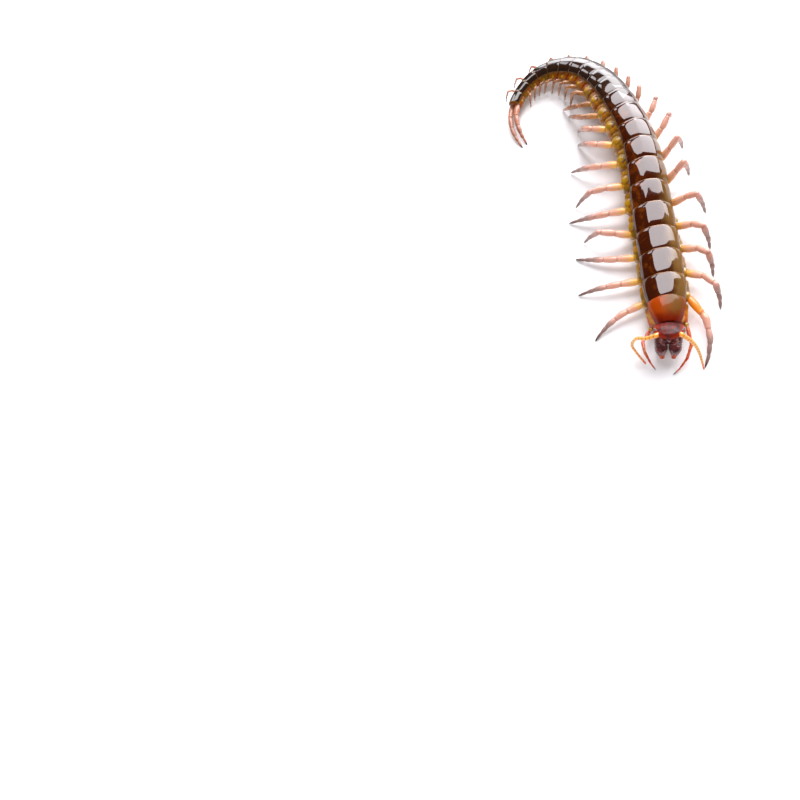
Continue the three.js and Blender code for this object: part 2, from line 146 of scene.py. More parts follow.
def height(s):
    """The trunk's height, with a swell in the middle."""
    n = segment_number(s)
    swell = lerp(1, MIDDLE_SWELL, smoothstep(n, 4, 9))
    return BODY_HEIGHT * swell * lerp(1, TAIL_HEIGHT_SHARE, smoothstep(n, 11, 20))


def roll(s):
    """How far the back leans outwards, in radians."""
    tail = lerp(1, TAIL_ROLL_SHARE, smoothstep(segment_number(s), 12, 19))
    return np.radians(ROLL * smoothstep(s, ROLL_FROM, ROLL_TO) * tail)


# %% Directions at a place on the trunk
def body_frame(s):
    """The middle of the body at lengths s, and its forward, left, up and level side directions. The
    middle is as high as the leaning outline needs for its lowest point to clear the floor."""
    s = np.atleast_1d(np.asarray(s, float))
    turn, lean = heading(s), roll(s)
    forward = np.stack([-np.cos(turn), -np.sin(turn), 0 * turn], -1)
    side = np.cross(UP, forward)
    up = np.cos(lean)[:, None] * UP + np.sin(lean)[:, None] * side
    left = np.cos(lean)[:, None] * side - np.sin(lean)[:, None] * UP
    depth = OUTLINE[:, 0] * (half_width(s) * np.sin(lean))[:, None]
    depth = depth - OUTLINE[:, 1] * (height(s) * np.cos(lean))[:, None]
    z = BELLY_CLEARANCE + depth.max(1)
    at = np.stack([np.interp(s, PATH_AT, PATH[:, 0]), np.interp(s, PATH_AT, PATH[:, 1]), z], -1)
    return at, forward, left, up, side


print("half width", np.round(half_width(STARTS[[2, 10, 20]]), 2), "mm at segments 3, 11 and 21")

# %% [markdown]
# A mesh is made from whole arrays. Two kinds of closed surface cover the animal: a tube, whose
# rings are joined and closed by a point at each end, and a plate, whose outer and inner skins
# share one rim. A Solidify modifier would make plates too, but with square edges. Here the
# thickness falls to nothing at the rim on a round curve, so that the edge catches a line of light.

# %% Faces of a grid
def grid_quads(rows, columns, closed):
    """Corner numbers of the quads between rows of points; closed joins the last column to the first."""
    r = np.arange(rows - 1)[:, None]
    c = np.arange(columns if closed else columns - 1)[None, :]
    nxt = (c + 1) % columns
    quads = [r * columns + c, r * columns + nxt, (r + 1) * columns + nxt, (r + 1) * columns + c]
    return np.stack(quads, -1).reshape(-1, 4)


# %% A tube closed at both ends
def tube(rings, **marks):
    """rings is an array of (rows, columns, 3) points. Each mark is one number for each row or each point."""
    rows, columns = rings.shape[:2]
    points = np.concatenate([rings.reshape(-1, 3), rings[0].mean(0)[None], rings[-1].mean(0)[None]])
    near = np.arange(columns)
    first, last = rows * columns, rows * columns + 1
    start = np.stack([np.full(columns, first), (near + 1) % columns, near], -1)
    end = np.stack([np.full(columns, last), near, (near + 1) % columns], -1)
    end[:, 1:] += (rows - 1) * columns
    found = {}
    for name, mark in marks.items():
        mark = np.asarray(mark, float)
        full = np.broadcast_to(mark[:, None] if mark.ndim == 1 else mark, (rows, columns))
        found[name] = np.concatenate([full.ravel(), [full[0].mean(), full[-1].mean()]])
    return {"points": points, "quads": grid_quads(rows, columns, True),
            "tris": np.concatenate([start, end]), "marks": found}


# %% A plate with a round rim
def plate(middle, normal, thickness, **marks):
    """middle and normal are (rows, columns, 3), and thickness is half the thickness at each point,
    which is taken as nothing on the rim."""
    rows, columns = middle.shape[:2]
    rim = np.ones((rows, columns), bool)
    rim[1:-1, 1:-1] = False
    t = np.where(rim, 0, thickness)[..., None]
    outer, inner = middle + normal * t, middle - normal * t
    index = np.full((rows, columns), -1)
    index[rim] = np.arange(rows * columns).reshape(rows, columns)[rim]
    index[~rim] = rows * columns + np.arange((~rim).sum())
    top = grid_quads(rows, columns, False)
    bottom = index.ravel()[top][:, ::-1]
    found = {}
    for name, mark in marks.items():
        full = np.broadcast_to(np.asarray(mark, float), (rows, columns))
        found[name] = np.concatenate([full.ravel(), full[~rim]])
    return {"points": np.concatenate([outer.reshape(-1, 3), inner[~rim]]),
            "quads": np.concatenate([top, bottom]), "tris": np.zeros((0, 3), int), "marks": found}


# %% The round edge of a plate
RIM_WIDTH = 0.3


def roundness(to_rim):
    """The share of the full thickness: a quarter circle that rises from 0 at the rim over RIM_WIDTH."""
    return np.sqrt(np.clip(1 - (1 - np.clip(to_rim / RIM_WIDTH, 0, 1)) ** 2, 0, 1))


def facing(middle, up):
    """Normals of a grid of points, from its steps along both ways, turned to the side of up."""
    normal = unit(np.cross(np.gradient(middle, axis=0), np.gradient(middle, axis=1)))
    return normal * np.sign((normal * up).sum(-1, keepdims=True))


# %% Shells to one piece
def piece(name, shells, material, nodes=()):
    """Puts closed shells, whose points are in millimetres, into one mesh that rides on the body. A
    shell whose volume comes out below 0, as a sum over its faces, is turned inside out first."""
    shift, points, quads, tris = 0, [], [], []
    for shell in shells:
        corners = shell["points"]
        q, t = shell["quads"], shell["tris"]
        a, b, c, d = (corners[q[:, k]] for k in range(4))
        volume = np.einsum("ij,ij->", a, np.cross(b, c)) + np.einsum("ij,ij->", a, np.cross(c, d))
        volume += np.einsum("ij,ij->", corners[t[:, 0]], np.cross(corners[t[:, 1]], corners[t[:, 2]]))
        if volume < 0:
            q, t = q[:, ::-1], t[:, ::-1]
        points.append(corners)
        quads.append(q + shift)
        tris.append(t + shift)
        shift += len(corners)
    points, quads, tris = (np.concatenate(part) for part in (points, quads, tris))
    mesh = bpy.data.meshes.new(name)
    mesh.vertices.add(len(points))
    mesh.vertices.foreach_set("co", (points * MM).astype(np.float32).ravel())
    mesh.loops.add(quads.size + tris.size)
    mesh.loops.foreach_set("vertex_index", np.concatenate([quads.ravel(), tris.ravel()]).astype(np.int32))
    starts = np.concatenate([np.arange(len(quads)) * 4, quads.size + np.arange(len(tris)) * 3])
    mesh.polygons.add(len(starts))
    mesh.polygons.foreach_set("loop_start", starts.astype(np.int32))
    mesh.polygons.foreach_set("use_smooth", np.ones(len(starts), bool))
    mesh.update(calc_edges=True)
    mesh.validate()
    for mark in shells[0]["marks"]:
        values = np.concatenate([shell["marks"][mark] for shell in shells])
        mesh.attributes.new(mark, "FLOAT", "POINT").data.foreach_set("value", values.astype(np.float32))
    thing = bpy.data.objects.new(name, mesh)
    bpy.context.scene.collection.objects.link(thing)
    mesh.materials.append(material)
    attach(thing, "root")
    if nodes:
        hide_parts(*nodes)
    print(f"{name}: {2 * len(quads) + len(tris)} triangles")
    return thing


# %% [markdown]
# Most limbs are a round profile carried along a line. The line is given by a few points. Feelers
# and fangs pass through theirs on a smooth curve, and a leg keeps to straight pieces with its
# corners eased, because each article of a leg is straight and only its joints bend.

# %% Curves through points
def spline(a, b, c, d, f):
    """The Catmull-Rom cubic from b to c at the share f, with a before b and d after c."""
    return 0.5 * (2 * b + (c - a) * f + (2 * a - 5 * b + 4 * c - d) * f**2
                  + (3 * b - a - 3 * c + d) * f**3)


def smooth_line(points, count):
    """A Catmull-Rom curve through the points, sampled at even lengths."""
    p = np.asarray(points, float)
    p = np.vstack([2 * p[0] - p[1], p, 2 * p[-1] - p[-2]])
    t = np.linspace(0, len(p) - 3 - 1e-9, 40 * count)
    k = t.astype(int)
    return evenly(spline(p[k], p[k + 1], p[k + 2], p[k + 3], (t - k)[:, None]), count)


def evenly(line, count):
    """The same line with count points at even distances."""
    reach = np.concatenate([[0], np.cumsum(np.linalg.norm(np.diff(line, axis=0), axis=1))])
    at = np.linspace(0, reach[-1], count)
    return np.stack([np.interp(at, reach, line[:, k]) for k in range(line.shape[1])], 1)


def eased_line(points, count, ease):
    """Straight pieces through the points, with the corners eased: a running mean, weighted by a
    bell, over a share of the count. Straight ends are put on first, so that the ends stay put."""
    line = evenly(np.asarray(points, float), count)
    pad = int(ease * count)
    if pad < 1:
        return line
    kernel = np.hanning(2 * pad + 3)[1:-1]
    kernel /= kernel.sum()
    ends = np.arange(pad, 0, -1)[:, None]
    before = line[0] - ends * (line[1] - line[0])
    after = line[-1] + ends[::-1] * (line[-1] - line[-2])
    long = np.vstack([before, line, after])
    return np.stack([np.convolve(long[:, k], kernel, "valid") for k in range(3)], 1)


# %% Rings across a line
def rings_along(line, radius, sides, flatten=1.0, upward=UP):
    """Round rings across a line: at each point a circle of the given radius, cosine across and
    sine upwards, flattened upwards."""
    along = unit(np.gradient(line, axis=0))
    across = unit(np.cross(along, upward))
    rise = np.cross(across, along)
    turn = np.linspace(0, 2 * np.pi, sides, endpoint=False)
    r = np.broadcast_to(np.asarray(radius, float), (len(line),))[:, None, None]
    return (line[:, None] + r * np.cos(turn)[None, :, None] * across[:, None]
            + r * flatten * np.sin(turn)[None, :, None] * rise[:, None])


# %% [markdown]
# Finishes are node materials. Shader maths is easier to read as sums than as boxes and wires, so a
# small class wraps a socket and lets Python's own signs add the Math nodes. Patterns read Object
# coordinates or numbers stored on the mesh, so that they stay on the surface from every side.

# %% Sums on sockets
class Signal:
    """A number that varies over a surface."""

    def __init__(self, finish, socket):
        self.finish, self.socket = finish, socket

    def maths(self, operation, other):
        """One Math node on this number and another."""
        return self.finish.node("ShaderNodeMath", {"operation": operation}, {0: self, 1: other})

    def __add__(self, other):
        return self.maths("ADD", other)

    __radd__ = __add__

    def __mul__(self, other):
        return self.maths("MULTIPLY", other)

    __rmul__ = __mul__

    def __sub__(self, other):
        return self.maths("SUBTRACT", other)

    def __rsub__(self, other):
        return (self * -1) + other

    def between(self, low, high):
        """0 below low, 1 above high, with a smooth step between."""
        return self.finish.node("ShaderNodeMapRange", {"interpolation_type": "SMOOTHERSTEP"},
                                {"Value": self, "From Min": low, "From Max": high})


# %% A finish and its nodes
class Finish:
    """A node material with one Principled shader. Numbers that are the same all over are set on it."""

    def __init__(self, name, **fixed):
        self.material = bpy.data.materials.new(name)
        self.material.use_nodes = True
        self.tree = self.material.node_tree
        self.shader = self.tree.nodes["Principled BSDF"]
        for key, value in fixed.items():
            self.shader.inputs[key.replace("_", " ")].default_value = value

    def node(self, kind, settings=None, sockets=None, output=0):
        """Any node: its settings are set first, then the values or links of its sockets."""
        made = self.tree.nodes.new(kind)
        for key, value in (settings or {}).items():
            if key == "stops":
                ramp = made.color_ramp
                while len(ramp.elements) < len(value):
                    ramp.elements.new(0.5)
                for stop, (place, colour) in zip(ramp.elements, value):
                    stop.position, stop.color = place, (*colour, 1)
            else:
                setattr(made, key, value)
        for key, value in (sockets or {}).items():
            if isinstance(value, Signal):
                self.tree.links.new(value.socket, made.inputs[key])
            else:
                made.inputs[key].default_value = value
        return Signal(self, made.outputs[output])

    def mark(self, name):
        """A number stored on the mesh."""
        return self.node("ShaderNodeAttribute", {"attribute_name": name}, output="Fac")

    def noise(self, size, detail=3.0, warp=0.0):
        """Cloudy noise whose patches are about size millimetres across."""
        place = self.node("ShaderNodeTexCoord", output="Object")
        return self.node("ShaderNodeTexNoise", None, {
            "Vector": place, "Scale": 1 / (size * MM), "Detail": detail, "Distortion": warp})

    def mix(self, amount, low, high):
        """A colour between low and high."""
        low, high = ((*c, 1) if isinstance(c, tuple) else c for c in (low, high))
        return self.node("ShaderNodeMix", {"data_type": "RGBA"}, {0: amount, 6: low, 7: high}, 2)

    def ramp(self, amount, stops):
        """A colour read off a row of stops."""
        return self.node("ShaderNodeValToRGB", {"stops": stops}, {"Fac": amount})

    def bumps(self, rise, depth):
        """Small relief: rise is 0 to 1, and depth is its height in millimetres."""
        return self.node("ShaderNodeBump", None, {
            "Height": rise, "Distance": depth * MM, "Strength": 1.0}, "Normal")

    def wear(self, **links):
        """Links what varies to the shader, and gives back the material."""
        for key, value in links.items():
            self.tree.links.new(value.socket, self.shader.inputs[key.replace("_", " ")])
        return self.material


# %% [markdown]
# The shell is thin, tanned and wet. Light soaks into it and comes out amber wherever it is thin, and
# that glow is painted into the colour: each plate is dark brown, with rusty clouds on its right side,
# a painted lighter olive on its left where the lamps' light falls, and a painted amber glow at its rims.
# The first plate has an orange of its own, greyed in its middle by a painted sheen and reddened by
# painted shade ahead and at its left side. Real depth could come from glass over a core, but a clear
# coat over a rougher painted base renders fast and can be baked. The coat is thinner at the outer
# margins, which would mirror the pale floor, so that the white squares stay clean.

# %% Shell finish
def shell_finish():
    """Brown from rust clouds, with a painted lighter olive on the left side where the light falls,
    darker at the tail, and a painted amber glow at the rim. The dome's orange is greyed in the
    middle by a painted sheen, and turns red with painted shade ahead and at its left side."""
    f = Finish("wet brown shell", IOR=1.5, Specular_IOR_Level=0.08, Coat_IOR=1.55, Coat_Roughness=0.03)
    cloud = f.noise(2.6, 3, 0.6)
    rim, side, dome, tail, ahead = (f.mark(name) for name in ("rim", "side", "dome", "tail", "ahead"))
    # Painted light: a lighter olive on the plates' left side, where the lamps' light falls.
    painted_lit_side = (side + cloud * 0.5).between(0.30, 0.95)
    patches = cloud.between(0.45, 0.75) * (1 - side.between(-0.5, -0.2))
    rust = f.mix(patches, (0.042, 0.0060, 0.0003), (0.13, 0.026, 0.0008))
    brown = f.mix(painted_lit_side, rust, (0.165, 0.083, 0.022))
    brown = f.mix(tail * 0.85, brown, (0.016, 0.010, 0.006))
    # Painted glow: amber at the rims stands in for light coming through the thin edge.
    brown = f.mix((1 - rim.between(0.04, 0.36)) * (1 - tail * 0.55), brown, (0.34, 0.135, 0.012))
    # The dome: the greyer olive in its middle is a painted sheen, and the red at its left side and its front
    # is painted shade.
    orange = f.mix((side + cloud * 0.5).between(-0.35, 0.65), (0.36, 0.047, 0.001), (0.16, 0.066, 0.014))
    orange = f.mix((side + cloud * 0.3).between(0.55, 1.05), orange, (0.20, 0.036, 0.007))
    orange = f.mix((ahead + cloud * 0.3).between(0.55, 1.05), orange, (0.17, 0.009, 0.001))
    colour = f.mix(dome, brown, orange)
    coat = (1 - dome * 0.75) * (1 - side.between(0.35, 0.7) * 0.6)
    return f.wear(Base_Color=colour, Roughness=dome * 0.2 + 0.14, Normal=f.bumps(f.noise(2.4, 0), 0.014),
                  Coat_Weight=coat * (1 - tail * side.between(0.02, 0.2) * 0.92))


SHELL = shell_finish()
print("finish:", SHELL.name)

# %% [markdown]
# The skin between the plates is soft and lets light in, so it has some subsurface scattering. Its
# colours come from numbers stored on the mesh, which say where the belly, the folds and the swellings
# are, and the folds are darkened with painted shade. A painted picture could say so too, but then it
# would have to be unwrapped and drawn again whenever the shape changes.

# %% Skin finish
def skin_finish():
    """Olive clouds along the flanks, orange at the tail, paler below, yellow on the swellings,
    and dark brown painted shade in the folds, creases and the grooves round the roots.
    """
    f = Finish("wet flank skin", Subsurface_Weight=0.25, Subsurface_Radius=(0.003, 0.0012, 0.0003),
               Subsurface_Scale=0.6, IOR=1.45, Specular_IOR_Level=0.25, Coat_Weight=0.5, Coat_IOR=1.5,
               Coat_Roughness=0.05)
    cloud = f.noise(2.4, 3, 0.8)
    fine = f.noise(0.45, 3, 0.3)
    belly, fold, tail, front, knob = (f.mark(name) for name in ("belly", "fold", "tail", "front", "knob"))
    olive = f.mix(cloud.between(0.35, 0.65), (0.20, 0.105, 0.004), (0.40, 0.175, 0.006))
    orange = f.mix(cloud.between(0.35, 0.65), (0.40, 0.110, 0.002), (0.28, 0.045, 0.001))
    under = f.mix(cloud.between(0.3, 0.7), (0.52, 0.17, 0.03), (0.62, 0.30, 0.10))
    colour = f.mix(tail * cloud.between(0.3, 0.6), olive, orange)
    colour = f.mix(belly * (1 - tail * 0.8), colour, under)
    colour = f.mix(knob, colour, (0.40, 0.225, 0.010))
    colour = f.mix(front, colour, f.mix(cloud.between(0.4, 0.6), (0.46, 0.060, 0.002), (0.50, 0.24, 0.012)))
    # Painted shade: dark brown in the pinches, creases and grooves that the fold mark covers.
    colour = f.mix(fold.between(0.3, 0.95) * 0.7, colour, (0.13, 0.035, 0.003))
    relief = f.bumps(fine * 0.5 + cloud * 0.5, 0.05)
    return f.wear(Base_Color=colour, Roughness=fine * 0.2 + 0.2, Normal=relief)


SKIN = skin_finish()
print("finish:", SKIN.name)

# %% [markdown]
# A leg is yellow at its root, salmon along its middle and grey brown at its foot, so its colour is
# read off a row of stops by the share of its length. One finish serves all the legs: four numbers
# on each mesh say how red, brown or orange that leg is, and where its joints are.

# %% Leg finish
def leg_finish():
    """A ramp from root to foot, then the leg's own tint, then darker joints and specks."""
    f = Finish("salmon leg", Subsurface_Weight=0.2, Subsurface_Radius=(0.0025, 0.0009, 0.0005),
               Subsurface_Scale=0.5, IOR=1.5, Coat_Weight=0.6, Coat_IOR=1.5, Coat_Roughness=0.12)
    along, joint, red, brown, orange = (f.mark(name) for name in ("along", "joint", "red", "brown", "orange"))
    cloud = f.noise(1.1, 3, 0.6)
    fine = f.noise(0.28, 3, 0.3)
    colour = f.ramp(along + (cloud - 0.5) * 0.25, [
        (0.0, (0.86, 0.46, 0.05)), (0.08, (0.80, 0.42, 0.14)), (0.18, (0.74, 0.38, 0.25)),
        (0.48, (0.66, 0.34, 0.26)), (0.64, (0.34, 0.22, 0.19)), (1.0, (0.13, 0.065, 0.055))])
    colour = f.mix(red, colour, f.mix(cloud.between(0.4, 0.7), (0.50, 0.045, 0.012), (0.62, 0.17, 0.04)))
    colour = f.mix(brown, colour, f.mix(cloud.between(0.4, 0.7), (0.36, 0.15, 0.04), (0.15, 0.05, 0.014)))
    colour = f.mix(orange * (1 - along.between(0.2, 0.36)), colour, (0.90, 0.27, 0.012))
    colour = f.mix(joint * 0.5, colour, (0.32, 0.11, 0.06))
    colour = f.mix(fine.between(0.5, 0.8) * 0.3, colour, (0.36, 0.17, 0.13))
    relief = f.bumps(fine, 0.04)
    return f.wear(Base_Color=colour, Roughness=fine * 0.25 + 0.28, Normal=relief)


LEG = leg_finish()
print("finish:", LEG.name)

# %% [markdown]
# The head is a duller dark red, and the fangs are glossy purple brown with red points. The feelers
# are orange with dark joints. The small parts need no pattern of their own, so one function makes
# all of them from two near colours.

# %% Head finish
WET = {"IOR": 1.62, "Coat_Weight": 1.0, "Coat_IOR": 1.55, "Coat_Roughness": 0.035}


def head_finish():
    """Clouds of two dark reds, brighter towards the sides."""
    f = Finish("dark red head shell", IOR=1.45, Specular_IOR_Level=0.15, Coat_Weight=0.12,
               Coat_IOR=1.5, Coat_Roughness=0.08)
    cloud = f.noise(1.5, 4, 0.7)
    fine = f.noise(0.4, 5, 0.2)
    side = f.mark("side")
    dark = f.mix(cloud.between(0.35, 0.65), (0.040, 0.007, 0.009), (0.14, 0.013, 0.007))
    colour = f.mix((side + cloud * 0.4).between(0.7, 1.15), dark, (0.27, 0.018, 0.003))
    relief = f.bumps(fine * 0.3 + cloud * 0.7, 0.09)
    return f.wear(Base_Color=colour, Roughness=fine * 0.2 + 0.25, Normal=relief)


# %% Fang and feeler finishes
def fang_finish():
    """Clouds of two purple browns, red over the last fifth."""
    f = Finish("purple brown fang", **WET)
    along = f.mark("along")
    cloud = f.noise(1.2, 4, 0.7)
    fine = f.noise(0.35, 5, 0.3)
    colour = f.mix(cloud.between(0.35, 0.7), (0.060, 0.012, 0.015), (0.17, 0.032, 0.030))
    colour = f.mix(along.between(0.78, 0.97), colour, (0.50, 0.07, 0.015))
    relief = f.bumps(fine * 0.6 + cloud * 0.4, 0.09)
    return f.wear(Base_Color=colour, Roughness=fine * 0.25 + 0.15, Normal=relief)


def feeler_finish():
    """A ramp of oranges from root to tip, with dark rings at the joints."""
    f = Finish("orange feeler", Subsurface_Weight=0.1, Subsurface_Radius=(0.002, 0.0008, 0.0003),
               Subsurface_Scale=0.4, **WET)
    along, joint = f.mark("along"), f.mark("joint")
    colour = f.ramp(along, [(0.0, (0.98, 0.34, 0.010)), (0.45, (0.98, 0.50, 0.10)),
                            (0.85, (0.95, 0.38, 0.12)), (1.0, (0.70, 0.16, 0.07))])
    colour = f.mix(joint * 0.8, colour, (0.22, 0.06, 0.015))
    fine = f.noise(0.2, 3)
    return f.wear(Base_Color=colour, Roughness=fine * 0.2 + 0.25, Normal=f.bumps(fine, 0.02))


# %% Plain finishes for the small parts
def plain_finish(name, low, high, size, depth, rough):
    """A gloss of two near colours in cloudy patches."""
    f = Finish(name, **WET)
    cloud = f.noise(size, 4, 0.5)
    colour = f.mix(cloud.between(0.3, 0.7), low, high)
    return f.wear(Base_Color=colour, Roughness=cloud * 0.1 + rough, Normal=f.bumps(cloud, depth))


HEAD = head_finish()
FANG = fang_finish()
FEELER = feeler_finish()
CLAW = plain_finish("dark claw", (0.018, 0.008, 0.007), (0.07, 0.022, 0.015), 0.5, 0.01, 0.2)
EYE = plain_finish("black eye", (0.004, 0.003, 0.004), (0.016, 0.008, 0.010), 0.3, 0.0, 0.08)
MOUTH = plain_finish("red mouthparts", (0.10, 0.010, 0.008), (0.20, 0.022, 0.012), 0.6, 0.02, 0.3)
SPIRACLE = plain_finish("breathing hole rim", (0.03, 0.012, 0.006), (0.16, 0.07, 0.02), 0.4, 0.01, 0.25)
KNOB = plain_finish("yellow leg root", (0.34, 0.17, 0.010), (0.60, 0.30, 0.02), 1.1, 0.03, 0.2)
BELLY = plain_finish("amber belly plate", (0.30, 0.11, 0.012), (0.50, 0.22, 0.05), 1.8, 0.03, 0.2)
print(len(bpy.data.materials), "finishes")

# %% [markdown]
# Under the plates runs the soft skin: one tube from the neck to the tail. Its section is a smooth
# loop through a few points, given as shares of half the width and of the height. It is pinched
# between segments, and folded along the flanks, where the skin must stretch as the animal bends.
# A displacement modifier could press the folds in, but worked into the rings they cost no more faces.

# %% A smooth closed section
SKIN_LOOP = np.array([(0, 0.41), (0.3, 0.395), (0.56, 0.335), (0.73, 0.2), (0.77, 0.07), (0.9, -0.01),
                      (1.0, -0.13), (0.97, -0.26), (0.87, -0.36), (0.68, -0.43), (0.4, -0.475), (0, -0.49)])


def closed_loop(half, count):
    """A smooth closed curve through the half outline and its mirror, count points from the top."""
    p = np.vstack([half, half[-2:0:-1] * (-1, 1)])
    n = len(p)
    t = np.linspace(0, n, 60 * n, endpoint=False)
    k = t.astype(int)
    dense = spline(p[(k - 1) % n], p[k % n], p[(k + 1) % n], p[(k + 2) % n], (t - k)[:, None])
    return evenly(np.vstack([dense, dense[:1]]), count + 1)[:-1]


# %% Depths and reaches of the skin's folds
RINGS_PER_SEGMENT = 22
SKIN_SIDES = 88
PINCH_REACH = 0.09
PINCH_DEPTH = 0.35
PINCH_MORE_ON_FLANK = 0.55
FOLD_DEPTH = 0.10
CREASE_DEPTH = 0.25
SWELL_AT = 0.08
SWELL_RADIUS = 0.95
SWELL_HEIGHT = 0.42
RING_DEPTH = 0.16
SINK_TO_SHARE = 6
SKIN_NECK_SHARE = 0.93
NECK_DROOP = 1.3


def tail_share(s):
    """0 along the trunk and 1 at the tail, where the colours are darker."""
    return smoothstep(segment_number(s), 9, 13)


# %% Where the skin is pinched, folded and swollen
loop = closed_loop(SKIN_LOOP, SKIN_SIDES)
share = np.arange(SEGMENTS * RINGS_PER_SEGMENT + 1) / RINGS_PER_SEGMENT
s = np.interp(share, np.arange(SEGMENTS + 1), STARTS)
within = share - np.floor(share)
to_joint = np.minimum(within, 1 - within)
pinch = hump(to_joint, 0, PINCH_REACH)
at, forward, left, up, side = body_frame(s)
# Slanting folds and two long creases lie on the flank, and all of it draws in at each joint.
flank = smoothstep(np.abs(loop[:, 0]), 0.62, 0.85) * smoothstep(-loop[:, 1], -0.16, 0.02)
belly = smoothstep(-loop[:, 1], 0.22, 0.4)
folds = np.sin(2 * np.pi * (2 * within[:, None] + 1.1 * loop[None, :, 1])) * 0.5 + 0.5
crease = hump(loop[:, 1], -0.02, 0.05) + 0.6 * hump(loop[:, 1], -0.2, 0.05)
sink = FOLD_DEPTH * folds**2 * flank + CREASE_DEPTH * crease * flank
sink = sink + pinch[:, None] * (PINCH_DEPTH + PINCH_MORE_ON_FLANK * flank)
# Each leg's root stands on a swelling with a groove round it: off is the distance from its middle.
off_s = (within - 0.5) * np.interp(s, STARTS[:-1], SEGMENT_LENGTHS)
off_loop = (np.abs(loop[:, 1] + SWELL_AT) + 10 * (np.abs(loop[:, 0]) < 0.6)) * height(s)[:, None]
off = np.hypot(off_s[:, None], off_loop) / (half_width(s) / HALF_WIDTH)[:, None]
swelling = hump(off, 0, SWELL_RADIUS) * smoothstep(share, 2, 5)[:, None]
ring = hump(off, 1.35 * SWELL_RADIUS, 0.22) * smoothstep(share, 2, 5)[:, None]
sink = sink * (1 - swelling) - SWELL_HEIGHT * swelling + RING_DEPTH * ring
print("skin sinks from", round(sink.min(), 2), "to", round(sink.max(), 2), "mm")

# %% The skin of the trunk
# The sink is taken off as a share of the section, which narrows at both ends and droops at the neck.
ends = smoothstep(s, -0.1, 1.2) * (1 - 0.35 * smoothstep(s, TRUNK_LENGTH - 1.2, TRUNK_LENGTH))
w, h = half_width(s)[:, None], height(s)[:, None]
shrink = 1 - sink / SINK_TO_SHARE
x = loop[None, :, 0] * w * shrink * lerp(SKIN_NECK_SHARE, 1, ends[:, None])
droop = NECK_DROOP * smoothstep(-s, -5.5, 0)[:, None] * smoothstep(loop[:, 1], 0, 0.35)
y = loop[None, :, 1] * h * shrink - droop
skin = at[:, None] + x[..., None] * left[:, None] + y[..., None] * up[:, None]
# The fold mark says where painted shade darkens the skin: the pinches at the joints, the creases on the flank
# and the groove round each swelling.
fold_shade_mark = np.clip(pinch[:, None] * 0.8 + crease * flank * 0.6 - swelling + 0.9 * ring, 0, 1)
TRUNK_NODES = [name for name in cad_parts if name.startswith("trunk_")]
piece("trunk_skin", [tube(skin, belly=np.broadcast_to(belly, x.shape), fold=fold_shade_mark, tail=tail_share(s),
                          front=smoothstep(-s, -5.5, -3), knob=swelling)], SKIN, TRUNK_NODES)

# %% [markdown]
# A shell plate spans the back from flank to flank, and its rear edge lies over the front edge of
# the next one. Two fine grooves run along it, and fade away towards the tail. It is a grid that
# follows the back's arch, closer near the rim by a cosine, so that the round edge keeps its shape
# with few faces. What the plate mirrors depends on its tilt: on the tail's plates the outer side is
# raised a little, which turns their flat middle to the rear lamp.

# %% Places on a plate
def even_cosine(count):
    """Shares from 0 to 1 that crowd towards both ends."""
    return (1 - np.cos(np.pi * np.linspace(0, 1, count))) / 2


BACK_POINTS = np.array([(0, 0.5), (0.18, 0.4975), (0.31, 0.4905), (0.4, 0.471), (0.55, 0.417),
                        (0.7, 0.342), (0.8, 0.255), (0.845, 0.16), (0.835, 0.09)])
BACK = smooth_line(np.vstack([BACK_POINTS[:0:-1] * (-1, 1), BACK_POINTS]), 401)


def across_back(v):
    """The back's arch: v from -1 to 1 gives shares of half the width and of the height."""
    along = (np.asarray(v) + 1) / 2 * (len(BACK) - 1)
    return [np.interp(along, np.arange(len(BACK)), BACK[:, k]) for k in (0, 1)]


print("the arch rises from", round(BACK[0, 1], 2), "to", round(BACK[:, 1].max(), 2), "of the height")

# %% One back plate
PLATE_ROWS = 36
PLATE_COLUMNS = 60
PLATE_ENDS = (-0.02, 1.03)
PLATE_HEIGHT_SHARE = 0.985
HALF_THICKNESS = 0.16
BOW = 0.045
PILLOW = 0.24
GROOVE_AT = 0.42
GROOVE_WIDTH = 0.018
GROOVE_DEPTH = 0.025
MARGIN_HEIGHT = 0.07
TAIL_LIFT = 0.07


